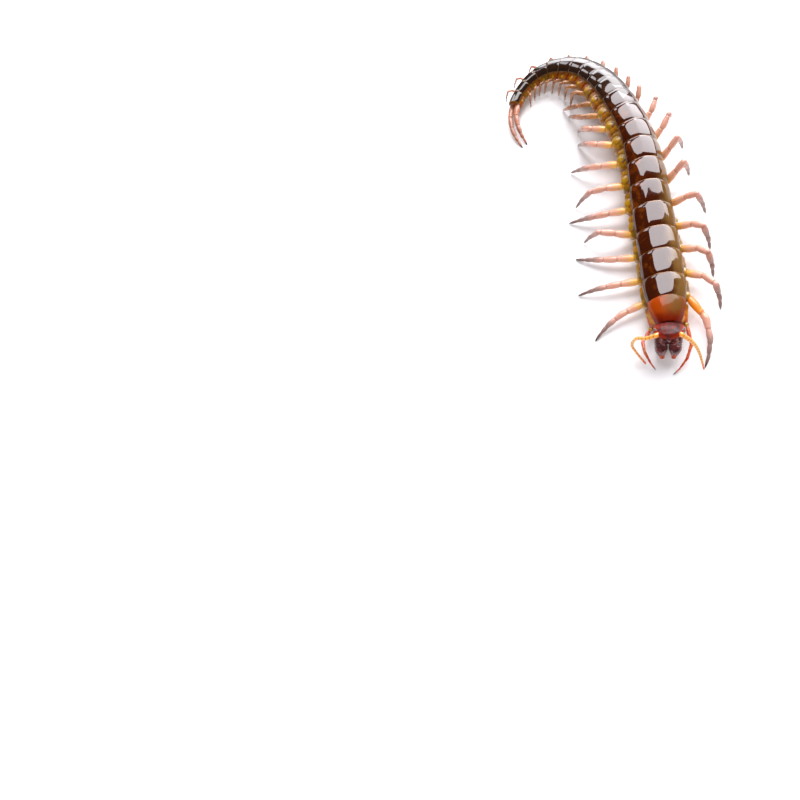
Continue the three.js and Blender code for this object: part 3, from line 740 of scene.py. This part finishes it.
def tergite(i):
    """The back plate of segment i, with u from its front to its rear and v from right to left: the
    back's arch carried along the segment, plus a pillow that is flat in its middle and falls off
    as a high power of the distance to both ends, less the grooves. The first one is a dome. Its
    ends bow outwards as 1 - v squared, and its front corners are drawn in."""
    u = even_cosine(PLATE_ROWS)[:, None]
    v = lerp(2 * even_cosine(PLATE_COLUMNS) - 1, np.linspace(-1, 1, PLATE_COLUMNS), 0.2)[None, :]
    length = SEGMENT_LENGTHS[i - 1]
    dome = float(i == 1)
    hind = smoothstep(i, 8, 12)
    bow = (BOW + 0.10 * dome) * length * (1 - v**2) * (2 * u - 1)
    s = np.maximum(STARTS[i - 1] + lerp(*PLATE_ENDS, u) * length + bow, 0.02)
    ends = np.abs(2 * u - 1)
    place = across_back(v)[0]
    rise = across_back(v * (1 + 0.35 * ends**5 * (1 - np.abs(v))))[1]
    at, _, left, up, _ = (part.reshape(*s.shape, 3) for part in body_frame(s.ravel()))
    corner = 1 - (0.05 + 0.26 * dome) * (1 - u) ** lerp(3, 2, dome) - 0.06 * u**6
    x = place * half_width(s) * corner
    size = half_width(s) / HALF_WIDTH
    power = 4.5 - 2.3 * dome + 3 * hind
    pillow = (PILLOW + 0.4 * dome - 0.08 * hind) * (1 - ends**power) * (1 - 0.5 * v**4)
    tuck = 0.08 * u**3 - 0.26 * (1 - u) ** 6 - 1.3 * dome * (1 - u) ** 1.5
    margin = MARGIN_HEIGHT * smoothstep(np.abs(v), 0.84, 0.93)
    grooves = hump(np.abs(place), GROOVE_AT, GROOVE_WIDTH) * (1 - hind) * (1 - 0.6 * dome)
    grooves = GROOVE_DEPTH * grooves * smoothstep(u, 0.02, 0.12) * (1 - smoothstep(u, 0.9, 0.99))
    y = rise * height(s) * PLATE_HEIGHT_SHARE + (pillow + tuck + margin - grooves - HALF_THICKNESS) * size
    lift = TAIL_LIFT * smoothstep(i, 9, 12) * (1 - smoothstep(i, 16, 19))
    y = y + lift * half_width(s) * smoothstep(v, -0.5, 0.5)
    middle = at + x[..., None] * left + y[..., None] * up
    to_rim = np.minimum(np.minimum(u, 1 - u) * length, (1 - np.abs(v)) * 0.95 * half_width(s))
    return plate(middle, facing(middle, up), HALF_THICKNESS * size * roundness(to_rim), tail=tail_share(s),
                 rim=np.clip(to_rim / 1.2, 0, 1), side=v, dome=dome, ahead=1 - u)


# %% The back plates, in three lengths
for first in (1, 8, 15):
    plates = [tergite(i) for i in range(first, first + 7)]
    piece(f"back_plates_{first:02d}_{first + 6:02d}", plates, SHELL)

# %% [markdown]
# The belly has plates too, smaller and paler ones, with soft skin between them. They are seen from
# below and from the side. They are made in the same way as the back plates, on the lower part of
# the section, and stay apart from each other, because here the skin shows.

# %% Belly plates
BELLY_HALF_THICKNESS = 0.12


def sternite(i, rows=20, columns=26):
    """The belly plate of segment i: its depth is nearly half the height, less a power of v."""
    u = even_cosine(rows)[:, None]
    v = (2 * even_cosine(columns) - 1)[None, :]
    length = SEGMENT_LENGTHS[i - 1]
    s = np.broadcast_to(STARTS[i - 1] + lerp(0.08, 0.93, u) * length, (rows, columns))
    at, _, left, up, _ = (part.reshape(*s.shape, 3) for part in body_frame(s.ravel()))
    x = 0.58 * v * half_width(s) * (1 - 0.08 * np.abs(2 * u - 1) ** 4)
    y = -height(s) * (0.49 - 0.035 * np.abs(v) ** 2.5) + 0.06
    middle = at + x[..., None] * left + y[..., None] * up
    to_rim = np.minimum(np.minimum(u, 1 - u) * length, (1 - np.abs(v)) * 0.5 * half_width(s))
    return plate(middle, -up, BELLY_HALF_THICKNESS * roundness(to_rim))


piece("belly_plates", [sternite(i) for i in range(1, SEGMENTS + 1)], BELLY)

# %% [markdown]
# Each leg stands on a root that swells from the flank. How a leg is held comes from two numbers:
# how far it reaches from the flank, and how far it sweeps towards the head. Its length is fixed, so
# what it doesn't spend on reach goes into height, and a few halvings find how high its knee is. An
# armature could pose the legs, but a still model needs no bones.

# %% How each leg is held: reach in mm, sweep towards the head in degrees
LEG_LENGTH = 15.2
TAIL_LEG_SHARE = 0.42
LEG_RADIUS = 0.92
COXA_RISE = 0.55
LEG_GAP = 0.48
LEFT_LEGS = [(11.2, 112), (17.3, 86), (11.3, 58), (9.5, 54), (9.2, 48), (7.9, 24), (6.0, -21),
             (7.1, -28), (10.0, -46), (9.9, -49)]
RIGHT_LEGS = [(9.0, 97), (13.8, 33), (14.7, 1), (14.8, -17), (11.5, -12), (14.6, -10), (11.9, 0),
              (12.9, -29), (11.4, -53), (9.8, -62), (11.2, -69), (9.6, -62)]
LONG_LEG = 2
LONG_LEG_SHARE = 1.24
TUCKED_REACH = {1: 0.6, -1: 0.42}
TUCKED_SWEEP = -58
COXA_OUT = 0.9
COXA_DOWN = {1: 0.14, -1: 0.24}
LEG_JOINTS = np.array([(0, 0), (0.36, 0.58), (0.64, 1), (0.85, 0.58), (1, 0)])
KNEE_LIMIT = 0.62
EARLY_SWEEP = 0.45
FRONT_EARLY_SWEEP = {(1, 1): 0.62, (1, 2): 0.6, (-1, 1): 0.42}
FIRST_LEG_SHARE = 0.55
FIRST_COXA_AHEAD = 3.2


def leg_size(i):
    """Legs are a little smaller at the neck and much smaller at the tail."""
    return lerp(1, TAIL_LEG_SHARE, smoothstep(i, 7, 18)) * lerp(0.75, 1, smoothstep(i, 0, 3))


# %% The line of one leg
def leg_line(root, level, forward, reach, sweep, length, early):
    """The five joints of a leg from root to foot: out by shares of the reach, turned by the sweep,
    down as a square, and up by shares of a lift that is halved down until the length fits."""
    shares, lifts = LEG_JOINTS.T
    turn = sweep * lerp(early, 1, shares)
    flat = root + reach * shares[:, None] * (np.cos(turn)[:, None] * level + np.sin(turn)[:, None] * forward)
    fall = root[2] * (1 - shares**2)
    low, high = 0.0, KNEE_LIMIT * length
    for _ in range(24):
        lift = (low + high) / 2
        line = flat.copy()
        line[:, 2] = fall + lifts * lift
        if np.linalg.norm(np.diff(line, axis=0), axis=1).sum() < length:
            low = lift
        else:
            high = lift
    return line


def leg_place(side, i):
    """Where leg i stands: the flank point, the root's axis and the leg's joints."""
    s = STARTS[i - 1] + (i > 1) * lerp(0.25, 0.5, smoothstep(i, 4, 10)) * SEGMENT_LENGTHS[i - 1]
    at, forward, left, up, level = (part[0] for part in body_frame(s))
    outward = left * side
    flank = at + outward * COXA_OUT * half_width(s) - up * COXA_DOWN[side] * height(s)
    normal = unit(outward + level * side + forward * FIRST_COXA_AHEAD * (i == 1))
    size = leg_size(i)
    held = LEFT_LEGS if side > 0 else RIGHT_LEGS
    length = LEG_LENGTH * size * (LONG_LEG_SHARE if side > 0 and i == LONG_LEG else 1)
    reach, sweep = held[i - 1] if i <= len(held) else (TUCKED_REACH[side] * length, TUCKED_SWEEP)
    early = FRONT_EARLY_SWEEP.get((side, i), EARLY_SWEEP)
    pose = (level * side, forward, reach, np.radians(sweep), length, early)
    guess = leg_line(flank + normal * COXA_RISE * size, *pose)
    axis = unit(unit(guess[1] - guess[0]) + normal)
    root = flank + axis * (COXA_RISE * size + LEG_GAP)
    return flank, axis, leg_line(root, *pose), size


# %% Leg roots
ROOT_OUT = np.array([-1.1, -0.6, -0.2, 0.1, 0.32, 0.46, 0.55, 0.58, 0.5, 0.44])
ROOT_RADIUS = 0.95 * np.array([1.3, 1.42, 1.4, 1.32, 1.22, 1.12, 0.98, 0.82, 0.7, 0.3])
ROOT_SIDES = 28


def knob(flank, axis, size):
    """A swelling with a rolled lip: a profile of radius by distance, turned round the root's axis."""
    turn = np.linspace(0, 2 * np.pi, ROOT_SIDES, endpoint=False)[:, None]
    a = unit(np.cross(axis, UP))
    ring = np.cos(turn) * a + np.sin(turn) * np.cross(a, axis)
    line = flank + size * ROOT_OUT[:, None] * axis
    return tube(line[:, None] + size * ROOT_RADIUS[:, None, None] * ring)


SIDES = {"left": 1, "right": -1}
legs = {(side, i): leg_place(side, i) for side in SIDES.values() for i in range(1, SEGMENTS)}
roots = [knob(flank, axis, size * (FIRST_LEG_SHARE if i == 1 else 1))
         for (_, i), (flank, axis, _, size) in legs.items()]
piece("leg_roots", roots, KNOB)

# %% [markdown]
# A leg has six articles. Each swells a little past its middle, flares at its far end into a collar,
# and draws in at the joint. One tube does for the five that are seen, because only its radius has
# to vary. The sixth, the claw, is a piece of its own, dark and curved down to the floor. The two
# short spurs behind it on the real animal are too fine to see here.

# %% One leg as a jointed tube
ARTICLE_ENDS = np.array([0, 0.29, 0.53, 0.73, 0.86, 1.0])
ARTICLE_RADII = np.array([1.0, 0.9, 0.78, 0.6, 0.42])
ARTICLE_TAPER = 0.86
LEG_DRESS = 1.1
LEG_RINGS = 150
LEG_SIDES = 18
CORNER_EASE = 0.018
CLAW_POINTS = 22


def leg_shape(line, radius, claw_share=0.93):
    """Rings along the leg, and a claw on its last stretch. An article's radius tapers, times a swell
    as a power of a half sine and a collar near its far end, and never reaches below the floor."""
    path = eased_line(line, LEG_RINGS, CORNER_EASE)
    whole = np.linspace(0, 1, LEG_RINGS)
    t = whole / claw_share
    k = np.clip(np.searchsorted(ARTICLE_ENDS, t, side="right") - 1, 0, len(ARTICLE_RADII) - 1)
    f = np.clip((t - ARTICLE_ENDS[k]) / (ARTICLE_ENDS[k + 1] - ARTICLE_ENDS[k]), 0, 1)
    swell = 0.78 + 0.30 * np.sin(np.pi * f) ** 0.75 + 0.10 * hump(f, 0.9, 0.06)
    r = np.maximum(radius * ARTICLE_RADII[k] * lerp(1, ARTICLE_TAPER, f) * swell, 0.13)
    r = np.minimum(r, np.maximum(path[:, 2] * 0.9, 0.12))
    body = t <= 1
    joint = np.maximum(hump(f, 0, 0.05), hump(f, 1, 0.05))
    rings = rings_along(path, r, LEG_SIDES, 0.92)[body]
    tip = rings[-1]
    claw = claw_shape(tip.mean(0), path[~body], np.linalg.norm(tip[0] - tip.mean(0)) * 0.9)
    return rings, whole[body], joint[body], claw


def claw_shape(start, path, radius):
    """A thin curved horn from the last article to the floor: its radius falls as a power of the
    share that is left."""
    line = np.vstack([start, path])
    line = smooth_line(line[:: max(1, len(line) // 4)], CLAW_POINTS)
    t = np.linspace(0, 1, CLAW_POINTS)
    r = radius * (1 - t) ** 0.7 + 0.03
    line[:, 2] = np.maximum(line[:, 2] + 0.10 * radius * np.sin(np.pi * t), r)
    return tube(rings_along(line, r, 12))


# %% All the walking legs
FOOT_HEIGHT = 0.05
INTO_ROOT = 0.1
claws = {"left": [], "right": []}
for word, side in SIDES.items():
    for i in range(1, SEGMENTS):
        _, axis, line, size = legs[side, i]
        line[0] -= axis * (LEG_GAP + INTO_ROOT)
        line[-1, 2] = FOOT_HEIGHT
        thick = LEG_DRESS * (FIRST_LEG_SHARE if i == 1 else 1)
        rings, along, joint, claw = leg_shape(line, thick * LEG_RADIUS * size)
        same = np.ones(len(along))
        leg = tube(rings, along=along, joint=joint, red=same * (i == 1), orange=same * (i == 2 and side > 0),
                   brown=same * (0.9 if side < 0 else 0.15) * smoothstep(i, 9.5, 11.5))
        piece(f"leg_{word}_{i:02d}", [leg], LEG, [f"leg_{word}_{i:02d}"])
        claws[word].append(claw)

# %% [markdown]
# The last pair trails behind the tail. These legs don't walk: they are longer, thicker and redder
# than their neighbours, and lie nearly side by side. The body line runs on past the tail, so they
# follow it and need no pose of their own.

# %% The last pair of legs
LAST_LEG_LENGTH = 13.5
LAST_LEG_RADIUS = 0.78
LAST_LEG_DRESS = 1.08
LAST_LEG_INSET = 0.36
LAST_LEG_SPREAD = 0.12
GAP = 0.3


def last_leg_line(side, count=5):
    """Follows the body line on past the tail, spread by part of a sine, and down as a power of t."""
    inset = LAST_LEG_INSET * half_width(TRUNK_LENGTH)
    t = np.arange(count) / (count - 1)
    at, _, _, _, level = body_frame(TRUNK_LENGTH + GAP + t * LAST_LEG_LENGTH)
    top = body_frame(TRUNK_LENGTH)[0][0, 2] - 0.2 - side * 0.5 * inset
    spread = (inset + LAST_LEG_SPREAD * np.sin(np.pi * t * 0.8)) * lerp(1.25, 1, t)
    line = at + side * spread[:, None] * level
    line[:, 2] = top * (1 - t**1.6)
    return line


for word, side in SIDES.items():
    line = last_leg_line(side)
    line[0] -= (line[1] - line[0]) * 0.12
    line[-1, 2] = FOOT_HEIGHT
    rings, along, joint, claw = leg_shape(line, LAST_LEG_DRESS * LAST_LEG_RADIUS, 0.94)
    none = np.zeros(len(along))
    leg = tube(rings, along=0.3 + 0.6 * along, joint=joint, red=none + 0.35, orange=none, brown=none + 0.4)
    piece(f"leg_last_{word}", [leg], LEG, [f"leg_last_{word}"])
    piece(f"claws_{word}", claws[word] + [claw], CLAW)

# %% [markdown]
# Along the flank, every second or third segment has a breathing hole above its leg: a small oval
# with a raised dark rim. Blender has a torus of its own, but this one is set flat on a flank that
# leans and bends, so its rings are worked out in the flank's own directions.

# %% Breathing holes
BREATHING = [3, 5, 8, 10, 12, 14, 16, 18, 20]
HOLE_RINGS = 30
HOLE_SIDES = 12
HOLE_LONG = 0.62
HOLE_HIGH = 0.40
HOLE_OUT = 0.87


def spiracle(side, i):
    """A torus flattened against the flank: an oval, times 1 plus a small cosine, and a small sine
    outwards."""
    s = STARTS[i - 1] + 0.42 * SEGMENT_LENGTHS[i - 1]
    at, forward, left, up, _ = (part[0] for part in body_frame(s))
    out = left * side
    size = half_width(s) / HALF_WIDTH
    normal = unit(out + 0.5 * up)
    rise = unit(np.cross(normal, forward))
    big = np.linspace(0, 2 * np.pi, HOLE_RINGS, endpoint=False)[:, None, None]
    small = np.linspace(0, 2 * np.pi, HOLE_SIDES, endpoint=False)[None, :, None]
    around = HOLE_LONG * np.cos(big) * forward + HOLE_HIGH * np.sin(big) * rise
    ring = around * (1 + 0.34 * np.cos(small)) + 0.16 * np.sin(small) * normal
    points = at + out * HOLE_OUT * half_width(s) + ring * size
    quads = grid_quads(HOLE_RINGS + 1, HOLE_SIDES, True) % (HOLE_RINGS * HOLE_SIDES)
    return {"points": points.reshape(-1, 3), "quads": quads, "tris": np.zeros((0, 3), int), "marks": {}}


holes = [spiracle(side, i) for side in SIDES.values() for i in BREATHING]
piece("breathing_holes", holes, SPIRACLE)

# %% [markdown]
# The head is a low capsule under a round shield. It is raised a little from the neck, so its own
# directions are turned by the pitch, and places on it are given ahead, to the left and up. It could
# be two scaled spheres, but widths named along its length keep the real head's flat, blunt outline.

# %% Places on and by the head
neck_at, neck_forward, _, _, neck_side = (part[0] for part in body_frame(0.0))
pitch, turned = np.radians(HEAD_PITCH), np.radians(HEAD_TURN)
spin = np.array([[np.cos(turned), -np.sin(turned), 0], [np.sin(turned), np.cos(turned), 0], [0, 0, 1]])
neck_forward, neck_side = spin @ neck_forward, spin @ neck_side
HEAD_FORWARD = np.cos(pitch) * neck_forward + np.sin(pitch) * UP
HEAD_UP = np.cos(pitch) * UP - np.sin(pitch) * neck_forward
HEAD_AT = neck_at + HEAD_RISE * UP + HEAD_AHEAD * neck_forward


def on_head(ahead, left, up):
    """A place on the head, in the head's own directions."""
    ahead, left, up = (np.asarray(part, float)[..., None] for part in (ahead, left, up))
    return HEAD_AT + ahead * HEAD_FORWARD + left * neck_side + up * HEAD_UP


def by_neck(points):
    """Places in front of the neck: ahead, to the left, and above the floor."""
    p = np.asarray(points, float)
    foot = np.array([neck_at[0], neck_at[1], 0])
    return foot + p[..., :1] * neck_forward + p[..., 1:2] * neck_side + p[..., 2:] * UP


# %% The head capsule
HEAD_STATIONS = np.array([(0, 0.84, 0.78), (0.12, 0.96, 0.94), (0.36, 1, 1), (0.6, 0.95, 0.96),
                          (0.8, 0.8, 0.82), (0.93, 0.58, 0.6), (1, 0.34, 0.36)])


def head_size(share):
    """Width and height shares of the head along its length, smoothed between stations."""
    dense = smooth_line(HEAD_STATIONS, 120)
    return np.interp(share, dense[:, 0], dense[:, 1]), np.interp(share, dense[:, 0], dense[:, 2])


HEAD_RINGS = 40
HEAD_SIDES = 56
UNDER_SHIELD_SHARE = 0.97
share = even_cosine(HEAD_RINGS)[:, None]
wide, high = head_size(share)
turn = np.linspace(0, 2 * np.pi, HEAD_SIDES, endpoint=False)
lift = np.where(np.sin(turn) > 0, 0.50, 0.38)
capsule = on_head(share * HEAD_LENGTH + 0 * turn, np.cos(turn) * HEAD_HALF_WIDTH * wide * UNDER_SHIELD_SHARE,
                  np.sin(turn) * lift * HEAD_HEIGHT * high)
side_mark = np.broadcast_to(np.abs(np.cos(turn)), (HEAD_RINGS, HEAD_SIDES))
piece("head_capsule", [tube(capsule, side=side_mark)], HEAD, ["head"])

# %% The head shield
SHIELD_AT = [0, 0.1, 0.35, 0.6, 0.8, 0.92, 1]
SHIELD_WIDTHS = [0.86, 0.97, 1.03, 0.99, 0.86, 0.66, 0.3]
SHIELD_HALF_THICKNESS = 0.14


def head_shield(rows=36, columns=44):
    """A round shield: the head's width along its length, arched across as a power of v, with one
    fine groove along its middle and one on each side."""
    u = even_cosine(rows)[:, None]
    v = (2 * even_cosine(columns) - 1)[None, :]
    wide = np.interp(u, SHIELD_AT, SHIELD_WIDTHS)
    high = head_size(u)[1]
    x = v * wide * HEAD_HALF_WIDTH
    y = HEAD_HEIGHT * high * (0.62 - 0.42 * np.abs(v) ** 2.4) - 0.05
    y = y - 0.06 * hump(v, 0, 0.03) * smoothstep(u, 0.05, 0.3) - 0.05 * hump(np.abs(v), 0.4, 0.03)
    ahead = u * (HEAD_LENGTH + 0.05) + 0.10 * (1 - v**2) * (u - 0.3)
    middle = on_head(ahead, x, y)
    to_rim = np.minimum(np.minimum(u, 1 - u) * HEAD_LENGTH, (1 - np.abs(v)) * wide * HEAD_HALF_WIDTH)
    return plate(middle, facing(middle, HEAD_UP), SHIELD_HALF_THICKNESS * roundness(to_rim), side=np.abs(v))


piece("head_shield", [head_shield()], HEAD)

# %% Eyes
EYE_SPOTS = [(0, 0), (0.75, 0.1), (0.1, 0.55), (0.8, 0.6)]
EYE_RADIUS = 0.36
EYE_AHEAD_SHARE = 0.42


def ball(centre, radius, rows=14, sides=20):
    """A sphere from rings of latitude."""
    lat = np.linspace(-np.pi / 2, np.pi / 2, rows + 2)[1:-1]
    lon = np.linspace(0, 2 * np.pi, sides, endpoint=False)
    ring = np.stack([np.cos(lat)[:, None] * np.cos(lon), np.cos(lat)[:, None] * np.sin(lon),
                     np.broadcast_to(np.sin(lat)[:, None], (rows, sides))], -1)
    return tube(centre + radius * ring)


eye_shells = []
for side in SIDES.values():
    for ahead, above in EYE_SPOTS:
        out = side * (0.96 * HEAD_HALF_WIDTH - 0.3 * ahead - 0.25 * above)
        eye_shells.append(ball(on_head(EYE_AHEAD_SHARE * HEAD_LENGTH + ahead, out, 0.1 + above), EYE_RADIUS))
piece("eyes", eye_shells, EYE)

# %% [markdown]
# A feeler is a string of short beads that get finer to the tip. Its thick orange root stands in a
# socket at the front of the head, and a dark ring marks each joint. Separate beads would show gaps
# where it bends, so one tube swells and narrows along its length.

# %% Feelers
ANTENNA_ARTICLES = 17
ANTENNA_RADIUS = 0.72
ANTENNA_TIP_RADIUS = 0.27
FEELER_DRESS = 0.88
ANTENNA_ROOT_AHEAD = 0.86
ANTENNA_ROOT_OUT = 0.73
ANTENNA_POINTS = ANTENNA_ARTICLES * 14
ANTENNA_LINES = {"left": [(5.5, 5.3, 6.5), (7.2, 6.8, 4), (10.1, 8, 0.8)],
                 "right": [(4.8, -5, 7.9), (4.2, -7.2, 6.4), (4.9, -8.2, 4.2), (6.4, -7, 2.4),
                           (8.6, -4.9, 0.8)]}
for word, side in SIDES.items():
    out = side * (ANTENNA_ROOT_OUT * HEAD_HALF_WIDTH + GAP)
    start = on_head(ANTENNA_ROOT_AHEAD * HEAD_LENGTH, out, 0.3)
    inside = on_head(ANTENNA_ROOT_AHEAD * HEAD_LENGTH - 0.9, out * 0.8, 0.15)
    line = smooth_line(np.vstack([inside, start, by_neck(ANTENNA_LINES[word])]), ANTENNA_POINTS)
    t = np.linspace(0, 1, ANTENNA_POINTS)
    f = (t * ANTENNA_ARTICLES) % 1
    joint = np.maximum(hump(f, 0, 0.12), hump(f, 1, 0.12))
    bead = (0.86 + 0.18 * np.sin(np.pi * f) ** 0.6) * (1 - 0.6 * smoothstep(t, 0.975, 1))
    radius = FEELER_DRESS * lerp(ANTENNA_RADIUS, ANTENNA_TIP_RADIUS, t**0.8) * bead
    piece(f"antenna_{word}", [tube(rings_along(line, radius, 20), along=t, joint=joint)], FEELER,
          [f"antenna_{word}"])

# %% [markdown]
# The fangs are a pair of legs that grew into poison claws. A thick base carries two short rings and
# then the claw proper, which is dark and ends in a red point. They are tubes with the rings worked
# into the radius, as on the legs. Between the bases lies the plate that bears them: a block with
# rounded corners, whose section is a circle with its cosine and sine raised to powers below 1.

# %% Fangs
FANG_LINE = [(0.9, 1.85, 3.9), (2.4, 1.8, 3.9), (3.9, 1.7, 3.6), (5.2, 1.6, 3.1), (6.4, 1.45, 2.5),
             (7.7, 1.2, 1.8)]
FANG_RADIUS = 1.46
FANG_TIP_SHARE = 0.36
FANG_POINTS = 140
COLLARS = [(0.07, 0.44, 0.02), (-0.10, 0.475, 0.012), (0.05, 0.51, 0.02), (-0.09, 0.545, 0.012),
           (0.05, 0.58, 0.02)]
for word, side in SIDES.items():
    line = smooth_line(by_neck(np.array(FANG_LINE) * (1, side, 1)), FANG_POINTS)
    t = np.linspace(0, 1, FANG_POINTS)
    radius = lerp(0.82, 1, smoothstep(t, 0, 0.12)) * lerp(1, FANG_TIP_SHARE, smoothstep(t, 0.66, 0.97))
    point = np.sqrt(np.clip(1 - smoothstep(t, 0.955, 1.002) ** 2, 0.01, 1))
    collar = 1 + sum(depth * hump(t, place, width) for depth, place, width in COLLARS)
    rings = rings_along(line, FANG_RADIUS * radius * point * collar, 30, 0.92)
    piece(f"fang_{word}", [tube(rings, along=t)], FANG, [f"fang_{word}"])

# %% The plate between the fangs
BLOCK_AT = [0, 0.1, 0.5, 0.85, 1]
BLOCK_HALF_WIDTHS = [2.2, 2.45, 2.2, 1.6, 1.1]
BLOCK_HALF_HEIGHTS = [0.45, 0.55, 0.53, 0.45, 0.3]
BLOCK_AHEAD = 0.6
BLOCK_LENGTH = 2.9
BLOCK_HEIGHT = 1.62


def fang_plate(rows=26, sides=40):
    """A rounded block between the fangs that narrows in front, by named widths and thicknesses."""
    u = np.linspace(0, 1, rows)[:, None]
    turn = np.linspace(0, 2 * np.pi, sides, endpoint=False)
    half = np.interp(u, BLOCK_AT, BLOCK_HALF_WIDTHS)
    thick = np.interp(u, BLOCK_AT, BLOCK_HALF_HEIGHTS)
    c, d = np.cos(turn), np.sin(turn)
    x = half * np.sign(c) * np.abs(c) ** 0.7
    z = BLOCK_HEIGHT + thick * np.sign(d) * np.abs(d) ** 0.8
    points = np.stack([np.broadcast_to(BLOCK_AHEAD + BLOCK_LENGTH * u, x.shape), x, z], -1)
    return tube(by_neck(points), side=np.broadcast_to(np.abs(c), x.shape))


piece("fang_plate", [fang_plate()], HEAD, ["fang_plate"])

# %% Mouthparts
PALP_LINE = np.array([(4.3, 1.5, -0.6), (4.9, 1.7, -0.9), (5.2, 1.4, -1.3), (5.3, 0.9, -1.7)])
PALP_RADIUS = 0.42
PALP_ARTICLES = 3
mouth = []
for side in SIDES.values():
    line = smooth_line(on_head(*(PALP_LINE * (1, side, 1)).T), 50)
    t = np.linspace(0, 1, 50)
    bead = 0.86 + 0.16 * np.sin(np.pi * (t * PALP_ARTICLES % 1)) ** 0.6
    radius = PALP_RADIUS * (1 - 0.55 * t) * bead
    mouth.append(tube(rings_along(line, radius, 16, upward=HEAD_FORWARD)))
mouth.append(ball(on_head(4.7, 0.0, -0.7), 0.5))
piece("mouthparts", mouth, MOUTH)

# %% [markdown]
# The picture is taken from above and in front of the head, close enough that the tail looks
# smaller than it is. A camera can be aimed by a track constraint, but here its own right and up are
# given as unit vectors, because it is also turned round its line of sight.

# %% Camera
from mathutils import Matrix, Vector

CAMERA_AT = (10.07, -107.912, 158.001)
CAMERA_RIGHT = Vector((0.93632918, 0.1080444, -0.33408693))
CAMERA_UP = Vector((0.0, 0.951480002, 0.307710588))
LENS_MM = 28.8
SENSOR_MM = 36
camera = bpy.data.objects.new("camera", bpy.data.cameras.new("camera"))
bpy.context.scene.collection.objects.link(camera)
camera.data.lens, camera.data.sensor_width = LENS_MM, SENSOR_MM
camera.data.clip_start, camera.data.clip_end = 0.005, 20
turned = Matrix((CAMERA_RIGHT, CAMERA_UP, CAMERA_RIGHT.cross(CAMERA_UP))).transposed().to_4x4()
camera.matrix_world = Matrix.Translation(Vector(CAMERA_AT) * MM) @ turned
bpy.context.scene.camera = camera
bpy.context.scene.view_settings.view_transform = "Standard"
print("camera", LENS_MM, "mm at", CAMERA_AT)

# %% [markdown]
# Wet shell shows its lamps: the white square on every back plate is the mirror image of one. A flat
# panel above gives the squares of the front half, and two low ones behind the animal give those of
# the tail, so each panel is laid between the directions that those plates mirror to the camera. A
# picture of a room could light it too, but has no edges where they are wanted. A fourth panel
# fills the shadows from the front and is kept out of reflections.

# %% Lights
LIGHT_DISTANCE = 0.6
LIGHT_COLOUR = (0.985, 0.965, 1.0)


def soft_box(name, start, end, half_width, glow):
    """A flat area light between two directions, seen from the middle of the animal: as long as the
    angle between them, and half_width degrees to each side. Its power is glow, pi and its area
    multiplied together, so that its brightness doesn't depend on its size."""
    start, end = Vector(start).normalized(), Vector(end).normalized()
    towards = (start + end).normalized()
    long = (end - start).normalized()
    data = bpy.data.lights.new(name, "AREA")
    data.shape, data.color = "RECTANGLE", LIGHT_COLOUR
    data.size = 2 * LIGHT_DISTANCE * np.tan(start.angle(end) / 2)
    data.size_y = 2 * LIGHT_DISTANCE * np.tan(np.radians(half_width))
    data.energy = glow * np.pi * data.size * data.size_y
    lamp = bpy.data.objects.new(name, data)
    bpy.context.scene.collection.objects.link(lamp)
    axes = Matrix((long, towards.cross(long), towards)).transposed().to_4x4()
    lamp.matrix_world = Matrix.Translation(towards * LIGHT_DISTANCE) @ axes
    lamp.visible_camera = False
    return lamp


soft_box("panel_above", (-0.22, 0.34, 0.91), (0.67, 0.72, 0.18), 18, 8.1)
soft_box("panel_back", (0.43, 0.88, 0.20), (-0.34, 0.92, 0.20), 11.5, 6.0)
soft_box("panel_back_left", (-0.40, 0.78, 0.49), (-0.58, 0.64, 0.54), 9, 6.0)
soft_box("fill", (-0.6, -0.6, 0.5), (0.5, -0.7, 0.5), 26, 1.9).visible_glossy = False
print(len(bpy.data.lights), "panels")

# %% Floor and room
ROOM_GLOW = 0.04
FLOOR_REACH = 3.0
world = bpy.data.worlds.new("pale room")
bpy.context.scene.world = world
world.use_nodes = True
room = world.node_tree.nodes["Background"].inputs
room["Color"].default_value, room["Strength"].default_value = (0.93, 0.95, 1.0, 1), ROOM_GLOW
floor_mesh = bpy.data.meshes.new("floor")
corners = np.array([(-1, -1, 0), (1, -1, 0), (1, 1, 0), (-1, 1, 0)]) * FLOOR_REACH
floor_mesh.from_pydata(corners.tolist(), [], [(0, 1, 2, 3)])
floor = bpy.data.objects.new("floor", floor_mesh)
bpy.context.scene.collection.objects.link(floor)
paper = Finish("pale floor", Roughness=0.7)
grain = paper.mix(paper.noise(1.5, 3), (0.93, 0.93, 0.93), (0.95, 0.95, 0.945))
floor_mesh.materials.append(paper.wear(Base_Color=grain))
print("floor reaches", FLOOR_REACH, "m to each side")
